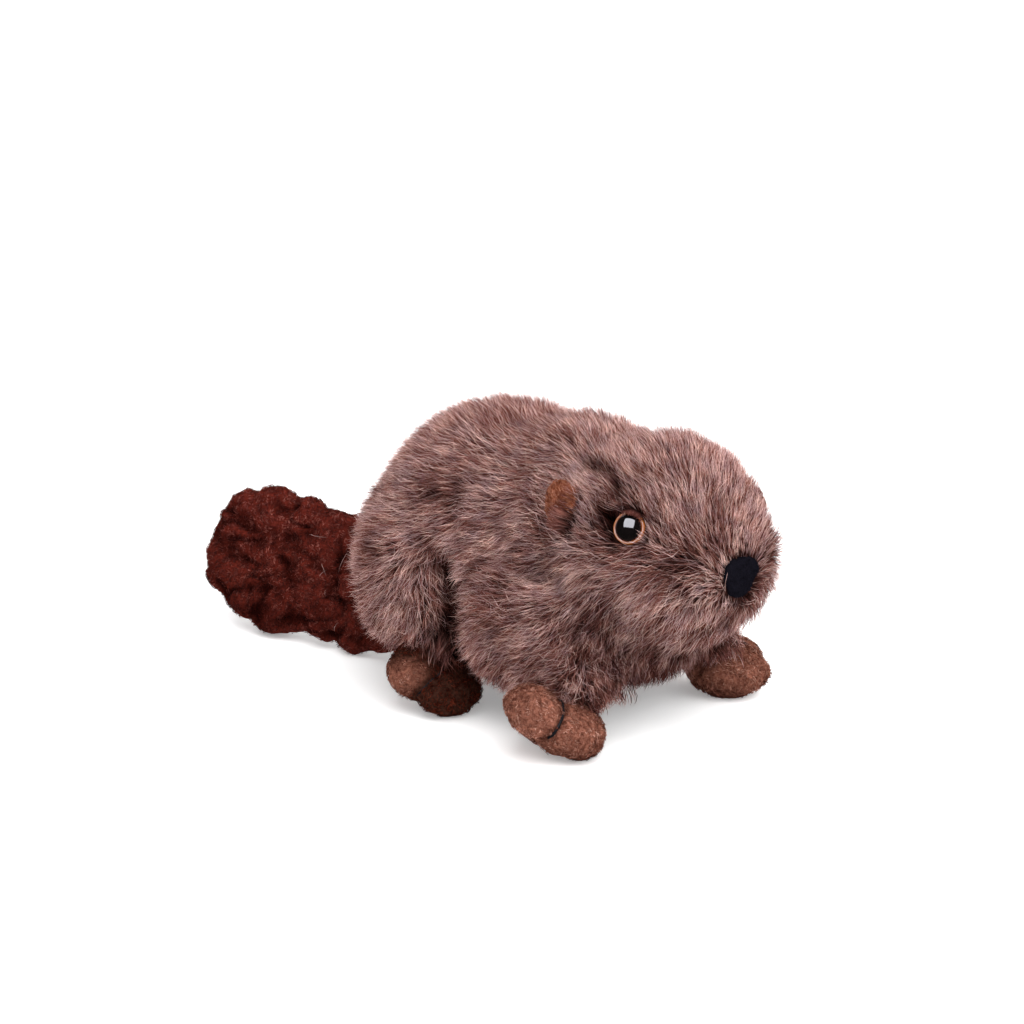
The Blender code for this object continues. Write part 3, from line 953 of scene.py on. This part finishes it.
def make_loose_strands(name, roots, normal, bends, tips, width, tone, shade, rings=LOOSE_RINGS):
    """Strands of the long pile that lie over, or hang beside, another piece."""
    count = len(roots)
    make_strands(
        name, roots, np.tile(normal, (count, 1)), bends, tips, np.full(count, width), rings,
        clamped(tone), np.broadcast_to(shade, count), LONG_PILE,
    )


def make_strays(name, roots, ways, bows, lengths, normal):
    """Single pale curved hairs that have strayed over a neighbouring piece."""
    ways = unit(ways)
    tips = roots + ways * lengths[:, None]
    bends = roots + ways * (lengths * 0.5)[:, None] + bows
    tone = random.uniform(0.85, 1.0, len(roots))
    make_loose_strands(name, roots, normal, bends, tips, STRAY_WIDTH, tone, 0.0, STRAY_RINGS)


def cleared(roots, bends, tips):
    """Strands cut back where they would cover an eye or the nose: which stay, their bends and
    tips, and which are still whole."""
    keep = np.ones(len(roots), bool)
    share = np.ones(len(roots))
    discs = [(EYES[word], eye_axis(side), EYE_CLEAR) for word, side in SIDES.items()]
    for centre, axis, (radius, reach, widening) in [*discs, (NOSE, SNOUT, NOSE_CLEAR)]:
        near = size_of(roots - centre) < reach
        flat_root = across_axis(roots - centre, axis)
        keep &= ~(near & (size_of(flat_root) < radius * 0.98))
        high = (tips - centre) @ axis
        rim = radius * 1.02 + widening * np.clip(high - EYE_RADIUS * 0.3, 0.0, 0.008)
        # How far along its flat course each strand meets the rim, as the root of a square
        way = across_axis(tips - roots, axis)
        a = dot(way, way)
        b = 2.0 * dot(flat_root, way)
        c = dot(flat_root, flat_root) - rim ** 2
        share = np.where(near & (c < 0.0), np.minimum(share, CUT_INSIDE), share)
        bowed = near & (size_of(across_axis(bends - centre, axis)) < rim)
        share = np.where(bowed, np.minimum(share, CUT_BOWED), share)
        inside = b * b - 4.0 * a * c
        enters = (-b - np.sqrt(np.maximum(inside, 0.0))) / np.maximum(2.0 * a, 1e-12)
        crosses = near & (inside > 0.0) & (enters > 0.0) & (enters < 1.0)
        share = np.where(crosses, np.minimum(share, enters), share)
    cut = share[:, None]
    return keep & (share > LEAST_CUT), towards(roots, bends, cut), towards(roots, tips, cut), share > 0.99


def grow_long_pile(skin, outer, hollow_shade, depth):
    """The long pile: a dense inner coat, an outer coat of locks, fine hairs and pale guard hairs."""
    points = vertices_of(skin)
    normals = normals_of(skin)
    triangles = triangles_of(skin)
    on_paw = distance_to(outer, PAW_POSES)
    region = np.argmin([distance_to(outer, [node]) for node in LONG_NODES], axis=0)
    flow = pile_flow(outer, normals)
    stands = pile_stand(outer, normals)
    wildness = pile_wildness(outer)
    weights = np.where((on_paw < BARE_PAW)[triangles].any(axis=1), 0.0, 1.0)
    weights *= 1.0 - 0.55 * smooth_step(0.55, 0.85, -normals[triangles[:, 0], 2])
    at, _ = scattered(points, triangles, weights, CLUMPS)
    clump_root = at(points)
    normal = unit(at(normals))
    lie = along_surface(at(flow) + 0.34 * random.normal(size=(CLUMPS, 3)), normal)
    clump_way = leaning(normal, lie, at(stands))
    for kind, count, rings, width, least, most, pale in KINDS:
        at, first = scattered(points, triangles, weights, count)
        root = at(points)
        normal = unit(at(normals))
        lie = along_surface(at(flow), normal)
        deep = at(depth)
        dip = at(hollow_shade)
        groove, brow, wake = furrows(at(outer))
        painted_dim = painted_dimness(at(outer))
        crest = smooth_step(0.30, 0.90, normal[:, 2])
        face = close_to(root, HEAD, 0.040, 0.052)
        # The way each strand lies, and how high and how long it is
        wild = at(wildness) * (FINE_LOOSENESS if kind in (FINE, GUARD) else 1.0)
        lie = along_surface(lie + (1.2 * wild)[:, None] * ripple_vectors(root, 0.010, 31), normal)
        lie = along_surface(lie + random.normal(size=lie.shape) * wild[:, None], normal)
        across = np.cross(normal, lie)
        paw_near = 1.0 - smooth_step(0.001, 0.009, at(on_paw))
        high = deep * (1.0 - 0.40 * dip) * (1.0 - 0.45 * groove) * (1.0 - 0.35 * brow)
        high = high * (1.0 - 0.25 * paw_near)
        usual = at(stands)
        stand = usual * (1.0 + 0.16 * ripple(root, 0.012, 41)) + random.normal(scale=0.06, size=count)
        stand = np.clip(stand, 0.25, 0.94)
        length = high / usual * random.uniform(least, most, count) * (1.0 + 0.10 * crest)
        length *= 1.0 - 0.22 * smooth_step(0.010, -0.025, root[:, 0]) * (1.0 - crest)
        rise = np.clip(stand + random.uniform(0.10, 0.32, count), 0.3, 0.98)
        # Tips drawn into locks and towards loose tufts; the gaps between the tufts get painted shade, and
        # the tufts' middles a touch of painted light in their tone
        tip = root + leaning(normal, lie, stand) * length[:, None]
        tip, leader = gathered(root, tip, LOCK_SHARE, LOCK_PULL - 0.16 * face)
        own, apart = nearest(clump_root, root)
        loose = (1.0 - 0.8 * crest) * (1.0 - 0.35 * face)
        aim = clump_root[own] + clump_way[own] * length[:, None]
        tip = towards(tip, aim, (CLUMP_PULL * loose)[:, None])
        gap = smooth_step(0.6, 1.2, apart / CLUMP_REACH) * loose
        tip += swung(across, 0.05, length)
        bend = root + leaning(normal, lie, rise) * (length * 0.5)[:, None]
        bend += swung(across, 0.09, length)
        root = root - normal * ROOTED
        keep, bend, tip, whole = cleared(root, bend, tip)
        if kind == GUARD:
            keep &= random.random(count) > 0.6 * face
        # Each strand's tone, a little paler as painted light where the pile faces up, its place's painted
        # shade, and its own wave and thickness
        lock = random.random(count)[leader]
        tone = 0.70 * random.random(count) + 0.36 * lock - 0.05 + pale
        tone += 0.10 * ripple(root, 0.020, 51) * (1.0 - 0.6 * crest) + 0.05 * (1.0 - gap)
        tone = 0.50 + (tone - 0.50) * (1.0 - 0.22 * crest + 0.24 * face) + 0.06 * crest + 0.02 * face
        tone = clamped(tone)
        # Painted shade of hollows, grooves, furrows, the hollows behind the eyes, the chest, folds and
        # sockets, and the gaps between tufts
        dark = clamped(0.8 * dip + 1.2 * groove + 0.75 * brow + 0.95 * wake + painted_dim + 0.48 * gap)
        kink = swung(across + normal * 0.4, KINK, length) * whole[:, None]
        thick = width * random.uniform(0.7, 1.25, count) * (1.0 - 0.03 * face)
        thick *= 0.55 + 0.45 * clamped(deep / BODY_DEPTH)
        for number, node in enumerate(LONG_NODES):
            here = np.flatnonzero(keep & (region[first] == number))
            here = here[np.argsort(root[here, 0], kind="stable")]
            parts = max(1, math.ceil(len(here) * 6 * len(rings) / PIECE_LIMIT))
            for part, rows in enumerate(np.array_split(here, parts)):
                make_strands(
                    f"pile_{kind}_{node}_{part + 1}", root[rows], normal[rows], bend[rows], tip[rows],
                    thick[rows], rings, tone[rows], dark[rows], LONG_PILE, kink[rows],
                )


# ---- Short pile: paws, ears and tail ----


def grow_short_pile(obj, name, tufts, lie, mat):
    """Short tufts over a padded piece, each turned a little its own way."""
    count, length, stand, width, curl = tufts
    mesh = obj.data
    points = vertices_of(mesh)
    normals = normals_of(mesh)
    triangles = triangles_of(mesh)
    weights = np.where(normals[triangles[:, 0], 2] < -0.80, 0.0, 1.0)
    at, _ = scattered(points, triangles, weights, count)
    root = at(points)
    normal = unit(at(normals))
    shade = at(read(mesh.attributes["shade"].data, "value", 1)[:, 0].astype(np.float64))
    way = lie + curl * ripple_vectors(root, 0.006, 61)
    way = along_surface(way + random.normal(scale=curl, size=way.shape), normal)
    up = np.clip(stand + random.normal(scale=0.12, size=count), 0.1, 0.95)
    long = length * random.uniform(0.6, 1.15, count)
    tip, leader = gathered(root, root + leaning(normal, way, up) * long[:, None], 0.15, 0.4)
    bend = root + normal * (long * 0.55)[:, None]
    tone = 0.55 * random.random(count) + 0.45 * random.random(count)[leader]
    thick = width * random.uniform(0.7, 1.2, count)
    make_strands(name, root - normal * 0.0002, normal, bend, tip, thick, [0.4], tone, shade, mat)


def paw_frame(node, side):
    """The middle of a paw and its own axes: towards its front toe, outward, and up."""
    turn, lean = PAW_POSES[node]
    ahead = np.array((math.cos(turn), -side * math.sin(turn), 0.0))
    outward = np.array((math.sin(turn), side * math.cos(turn), 0.0))
    across = ahead * math.cos(lean) - UP * math.sin(lean)
    return middle(node), across, outward, ahead * math.sin(lean) + UP * math.cos(lean)


def thread_across(share, offset):
    """How far towards the front toe the stitched line lies, from its top (0) to its end (1)."""
    return offset - THREAD_BOW * (share - 0.40) ** 2


def stuffed_out(points, normals, edges):
    """Points moved out towards the shape's hull, so that its dips fill."""
    shape = bmesh.new()
    for point in points[::3]:
        shape.verts.new(point)
    bmesh.ops.convex_hull(shape, input=shape.verts)
    tree = BVHTree.FromBMesh(shape)
    shape.free()
    gaps = np.zeros(len(points))
    for number, (point, normal) in enumerate(zip(points, normals)):
        hit, _, _, far = tree.ray_cast(Vector(point), Vector(normal), MOST_FILLED)
        if hit is not None:
            gaps[number] = far
    return relaxed(points + normals * (FRONT_FILL * gaps)[:, None], edges, 10)


def make_paw(node, offset, gloom, side):
    """A paw's padded cloth, pulled in along the toe thread and at the seam of its front toe."""
    paw = melted(node + "_skin", [node], 0.0009, 3)
    mesh = paw.data
    points = vertices_of(mesh)
    normals = normals_of(mesh)
    in_front = node.startswith("front")
    if in_front:
        filled = stuffed_out(points, normals, edges_of(mesh))
        points = np.where(points[:, 2:] < FLAT_SOLE, points, filled)
        put_vertices(mesh, points)
        normals = normals_of(mesh)
    centre, across, outward, upward = paw_frame(node, side)
    x = (points - centre) @ across
    out = (points - centre) @ outward
    up = (points - centre) @ upward
    share = (THREAD_FROM - np.arctan2(up, out)) / (THREAD_FROM - THREAD_TO)
    gap = x - thread_across(clamped(share), offset)
    line = smooth_step(-0.5, 0.0, share) * (1.0 - smooth_step(1.0, 1.5, share))
    crease = np.exp(-(gap / 0.0018) ** 2) * line
    shade_round_thread = np.exp(-(gap / 0.0060) ** 2)
    pucker = np.exp(-((x - PAW_SEAM - 0.0006 * ripple(points, 0.008, 75)) / 0.0008) ** 2)
    lumps = 0.0005 * ripple(points, 0.010, 71) + 0.0002 * ripple(points, 0.004, 81)
    sink = PAW_NAP + 0.0010 * crease + 0.0006 * pucker - lumps
    moved = points - normals * sink[:, None]
    if in_front:
        tucked = smooth_step(0.002, -0.012, x) * smooth_step(0.005, -0.007, up)
        moved[:, 2] += REAR_TUCK * math.sin(PAW_POSES[node][1]) * tucked
    moved[:, 2] = np.where(points[:, 2] < FLAT_SOLE, points[:, 2], moved[:, 2])
    moved[:, 2] = np.maximum(moved[:, 2], 0.0)
    put_vertices(mesh, moved)
    # Painted shade: in the thread's crease and the seam's pucker, towards the floor, and, by the gloom, a
    # little all over, where the body covers the paw, round the thread and over the front toe
    low = 1.0 - smooth_step(0.0005, 0.0125, moved[:, 2])
    shade_under_body = 1.0 - smooth_step(0.0005, 0.0085 + 0.006 * gloom, distance_to(points, LONG_NODES))
    ahead = smooth_step(-0.002, 0.006, x - offset)
    shade = 0.55 * crease + 0.25 * pucker + 0.50 * low
    shade += gloom * (0.12 + shade_under_body + 0.6 * shade_round_thread + 0.8 * ahead)
    put_attribute(mesh, "shade", clamped(shade))
    finish_piece(paw, NAP_CLOTH)
    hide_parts(node)
    grow_short_pile(paw, node + "_nap", PAW_TUFTS, outward * 0.5 - UP * 0.3, NAP)
    make_toe_thread(node, mesh, offset, side)


def make_toe_thread(node, mesh, offset, side):
    """The stitched line between the two toes: a thick twisted thread from the top to the front."""
    tree = tree_of(mesh)
    centre, across, outward, upward = paw_frame(node, side)
    path = []
    for step in range(THREAD_STEPS + 1):
        share = step / THREAD_STEPS
        angle = THREAD_FROM + (THREAD_TO - THREAD_FROM) * share
        way = Vector(turned(outward, upward, angle))
        start = Vector(centre + across * thread_across(share, offset))
        hit, normal, _, _ = tree.ray_cast(start + way * THREAD_START, -way)
        if hit is not None:
            path.append((hit, normal))
    radius = THREAD_RADIUS * (1.0 if node.startswith("front") else HIND_THREAD_SHARE)
    verts = []
    for number, (hit, normal) in enumerate(path):
        before = path[max(number - 1, 0)][0]
        after = path[min(number + 1, len(path) - 1)][0]
        way = (after - before).normalized()
        beside = way.cross(normal).normalized()
        lift = beside.cross(way)
        sink = -0.0008 if number in (0, len(path) - 1) else radius * 0.8
        for angle in ring_angles(THREAD_SIDES):
            size = radius * (1.0 + 0.16 * math.cos(2 * (angle - THREAD_TWIST * number)))
            verts.append(hit + normal * sink + turned(beside, lift, angle) * size)
    faces = []
    for a in range(0, len(verts) - THREAD_SIDES, THREAD_SIDES):
        for corner in range(THREAD_SIDES):
            after = (corner + 1) % THREAD_SIDES
            faces.append((a + corner, a + after, a + THREAD_SIDES + after, a + THREAD_SIDES + corner))
    faces.append(tuple(reversed(range(THREAD_SIDES))))
    faces.append(tuple(range(len(verts) - THREAD_SIDES, len(verts))))
    finish_piece(closed_piece(node + "_thread", verts, faces), THREAD)


def make_hanging_wisps(name, edge, spread, way, out, longest, side):
    """Loose locks that hang from the edge of a long-pile piece over a paw."""
    count = HANGING_WISPS
    roots = mirrored(edge, side) + random.normal(size=(count, 3)) * spread
    ways = mirrored(way, side) + 0.35 * ripple_vectors(roots, 0.006, 201)
    ways = unit(ways + random.normal(scale=0.22, size=(count, 3)))
    lengths = random.uniform(0.55, 1.00, count)[:, None] * longest
    tip, leader = gathered(roots, roots + ways * lengths, 0.10, 0.40)
    out = mirrored(out, side)
    bend = roots + unit(ways + out * 0.8) * lengths * 0.5
    tone = 0.10 + 0.5 * random.random(count) + 0.3 * random.random(count)[leader]
    shade = random.uniform(0.0, 0.65, count)
    make_loose_strands(name, roots, out, bend, tip, OUTER_WIDTH, tone, shade)


def ear_frame(word):
    """The way that an ear points out of the head, and the way that its front faces."""
    axis = unit(EARS[word] - HEAD)
    return axis, along_surface(FACING[None], axis[None])[0]


def make_ear_wisps(word):
    """Locks of the long pile that lie over the front and the foot of an ear."""
    count = EAR_WISPS
    axis, forward = ear_frame(word)
    rise = np.cross(axis, forward)
    rise *= np.sign(rise[2])
    high = random.uniform(-0.0110, 0.0065, count)
    ahead = random.uniform(0.0050, 0.0085, count)
    roots = EARS[word] + np.outer(ahead, forward) + np.outer(high, rise) - axis * 0.0054
    ways = axis * 0.85 + rise * 0.10 - forward * 0.30 + 0.30 * ripple_vectors(roots, 0.005, 171)
    ways = unit(ways + random.normal(scale=0.16, size=ways.shape))
    lengths = random.uniform(0.0095, 0.0118, count) - 0.0050 * smooth_step(0.000, 0.008, high)
    lengths = lengths[:, None]
    tip, leader = gathered(roots, roots + ways * lengths, 0.10, 0.35)
    bend = roots + unit(ways + axis * 0.5) * lengths * 0.5
    tone = 0.12 + 0.45 * random.random(count) + 0.3 * random.random(count)[leader]
    # Painted shade, deeper on the wisps that lie low on the ear
    shade = 0.05 + 0.35 * smooth_step(0.002, -0.008, high)
    make_loose_strands("ear_wisps_" + word, roots, axis, bend, tip, 1.15 * OUTER_WIDTH, tone, shade)


def make_ear(word):
    node = "ear_" + word
    make_ear_wisps(word)
    ear = melted(node + "_skin", [node], 0.0007, 3)
    mesh = ear.data
    points = vertices_of(mesh)
    sink = normals_of(mesh) * (0.0004 - 0.0002 * ripple(points, 0.004, 91))[:, None]
    put_vertices(mesh, points + ear_frame(word)[1] * EAR_FORWARD - sink)
    put_attribute(mesh, "shade", 0.30 * smooth_step(0.2, 1.0, ripple(points, 0.006, 93)))
    finish_piece(ear, EAR_CLOTH)
    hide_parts(node)
    grow_short_pile(ear, node + "_nap", EAR_TUFTS, np.array((-0.3, 0.0, 1.0)), EAR_NAP)


def tail_puffs(along, up):
    """The fleece's soft puffs: how domed each place is, from 0 in a crease to 1, and how cloudy."""
    flat = np.stack([along, up * PUFF_FLAT, np.zeros(len(along))], axis=1)
    along = along + 0.0050 * ripple(flat, 0.024, 131)
    up = up + 0.0036 * ripple(flat, 0.020, 141)
    own = np.random.default_rng(19)
    seeds = []
    for row in range(-4, 5):
        for column in range(-6, 7):
            x = (column + 0.5 * (row % 2) + own.uniform(-0.34, 0.34)) * PUFF_LONG
            seeds.append((x, (row + own.uniform(-0.30, 0.30)) * PUFF_LONG))
    place = np.stack([along, up * PUFF_FLAT], axis=1)
    far = size_of(place[:, None, :] - np.array(seeds)[None])
    far.sort(axis=1)
    edge = (far[:, 1] - far[:, 0]) / PUFF_LONG
    depth = np.clip(0.55 + 0.45 * ripple(flat, 0.030, 151), 0.05, 1.0)
    dome = 1.0 - depth * (1.0 - smooth_step(0.0, 0.55, edge))
    return dome, 0.5 + 0.5 * ripple(flat, 0.011, 161)


def make_tail():
    """The tail's fleece: irregular soft puffs, with painted shade in the creases between them."""
    tail = melted("tail_skin", ["tail"], 0.0011, 4)
    mesh = tail.data
    outer = vertices_of(mesh)
    normals = normals_of(mesh)
    centre = middle("tail")
    along = np.array((math.cos(TAIL_RISE), 0.0, -math.sin(TAIL_RISE)))
    across = np.array((
        math.sin(TAIL_RISE) * math.sin(TAIL_ROLL), math.cos(TAIL_ROLL),
        math.sin(TAIL_ROLL) * math.cos(TAIL_RISE),
    ))
    smooth = relaxed(outer, edges_of(mesh), 24)
    rise = dot(outer - smooth, normals)
    up = (outer - centre) @ across
    dome, cloud = tail_puffs((outer - centre) @ along, up)
    broad = smooth_step(0.35, 0.85, np.abs(normals @ np.cross(along, across)))
    sink = TAIL_NAP + PUFF_DEPTH * (1.0 - dome) * (0.12 + 0.88 * broad)
    sink -= TAIL_CORNER_RAISED * close_to(outer, np.array(TAIL_CORNER), 0.005, 0.024)
    sink -= 0.0007 * (cloud - 0.5) + 0.0003 * ripple(outer, 0.005, 101)
    sink += 0.3 * broad * np.clip(-rise, 0.0, 0.0012)
    sink -= 0.8 * (1.0 - broad) * np.clip(-rise, 0.0, 0.0025)
    moved = outer - normals * sink[:, None]
    moved[:, 2] = np.maximum(moved[:, 2], 0.0)
    put_vertices(mesh, moved)
    # Painted shade in the creases between the puffs and where the cloud is low, less on the narrow rim, and
    # deeper towards the tail's lower edge
    hollow_shade = smooth_step(0.90, 0.05, dome + 0.12 * ripple(outer, 0.006, 111))
    hollow_shade = (0.70 * hollow_shade + 0.30 * smooth_step(0.45, 0.0, cloud)) * (0.25 + 0.75 * broad)
    hollow_shade += (0.30 + 0.20 * ripple(outer, 0.018, 165)) * smooth_step(-0.006, -0.022, up)
    put_attribute(mesh, "shade", clamped(hollow_shade))
    finish_piece(tail, TAIL_CLOTH)
    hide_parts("tail")
    grow_short_pile(tail, "tail_pile", TAIL_TUFTS, np.array((-0.4, 0.0, -0.1)), TAIL_PILE)
    count = TAIL_STRAYS
    out = np.cross(across, along)
    out *= -np.sign(out[1])
    roots = centre + np.outer(random.uniform(0.010, 0.050, count), along)
    roots = roots + np.outer(random.uniform(-0.022, 0.018, count), across) + out * 0.0055
    ways = np.outer(random.uniform(-1.0, 0.6, count), along) + np.outer(random.normal(size=count), across)
    bows = np.outer(random.uniform(0.0008, 0.0022, count), out)
    bows += np.outer(random.normal(scale=0.001, size=count), across)
    make_strays("tail_strays", roots, ways + out * 0.1, bows, random.uniform(0.004, 0.010, count), out)


# ---- Eyes and nose ----


def make_eye(word, side):
    node = "eye_" + word
    axis = Vector(eye_axis(side))
    across = axis.cross(Vector(UP)).normalized()
    upward = across.cross(axis)
    centre = Vector(EYES[word])
    verts = []
    outs = []
    for out, high in EYE_PROFILE:
        for angle in ring_angles(1 if out == 0.0 else EYE_STEPS):
            spoke = turned(across, upward, angle)
            verts.append(centre + (spoke * out + axis * high) * EYE_RADIUS * EYE_SHARE)
            outs.append(out)
    obj = closed_piece(node + "_plastic", verts, spindle_faces(EYE_STEPS, len(EYE_PROFILE) - 2))
    put_attribute(obj.data, "out", np.array(outs))
    finish_piece(obj, EYE)
    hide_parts(node)
    make_lid(word, side, *(np.array(place) for place in (centre, axis, across, upward)))


def make_lid(word, side, centre, axis, across, upward):
    """A small tuft that hangs over the top of the eye's ring."""
    count = LID_HAIRS
    along = side * 0.22 + random.normal(scale=0.30, size=count)
    root = centre + np.outer(np.sin(along), across) * EYE_RADIUS * 1.10
    root += np.outer(np.cos(along), upward) * EYE_RADIUS * 1.10
    root += axis * 0.0012
    inward = across_axis(unit(centre - root), axis)
    aside = random.normal(scale=0.25, size=(count, 1)) * across
    length = random.uniform(0.0022, 0.0034, count)[:, None]
    tip = root + unit(inward + aside + axis * 0.75) * length
    bend = root + unit(inward * 0.2 + axis) * length * 0.55
    tone = random.uniform(0.12, 0.50, count)
    make_loose_strands("lid_" + word, root - axis * 0.0014, axis, bend, tip, LID_WIDTH, tone, 0.22)


def make_nose():
    nose = melted("nose_pad", ["nose"], 0.0006, 3)
    mesh = nose.data
    points = vertices_of(mesh)
    sink = normals_of(mesh) * (0.0003 - 0.0002 * ripple(points, 0.004, 121))[:, None]
    slimmed = np.outer((points - NOSE) @ TO_RIGHT * (1.0 - NOSE_SLIM), TO_RIGHT)
    put_vertices(mesh, points - sink - slimmed + PAD - NOSE)
    put_attribute(mesh, "shade", np.zeros(len(points)))
    finish_piece(nose, NOSE_CLOTH)
    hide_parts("nose")
    grow_short_pile(nose, "nose_nap", NOSE_TUFTS, np.array((-0.2, 0.0, 0.6)), NOSE_NAP)
    count = NOSE_STRAYS
    rise = np.cross(TO_RIGHT, SNOUT)
    rise *= np.sign(rise[2])
    angle = random.uniform(math.radians(-120), math.radians(20), count)
    rim = np.outer(np.cos(angle), TO_RIGHT) * 0.0088 + np.outer(np.sin(angle), rise) * 0.0084
    roots = PAD + rim + SNOUT * 0.0016
    ways = np.outer(-np.sin(angle), TO_RIGHT) + np.outer(np.cos(angle), rise)
    ways = ways * random.choice((-1.0, 1.0), (count, 1)) + unit(rim) * random.uniform(-0.1, 0.5, (count, 1))
    ways += SNOUT * random.uniform(0.05, 0.3, (count, 1))
    bows = unit(rim) * random.uniform(0.0006, 0.0016, (count, 1)) + SNOUT * 0.0008
    make_strays("nose_strays", roots, ways, bows, random.uniform(0.004, 0.008, count), SNOUT)


# ---- Making ----

make_camera()
make_studio()
grow_long_pile(*make_body_skin())
make_tail()
for word, side in SIDES.items():
    make_paw("front_paw_" + word, FRONT_THREAD, FRONT_GLOOM, side)
    make_paw("hind_foot_" + word, HIND_THREAD, HIND_GLOOM, side)
    make_hanging_wisps("haunch_wisps_" + word, *HAUNCH_WISPS, side)
    make_hanging_wisps("sleeve_wisps_" + word, *SLEEVE_WISPS, side)
    make_ear(word)
    make_eye(word, side)
make_nose()
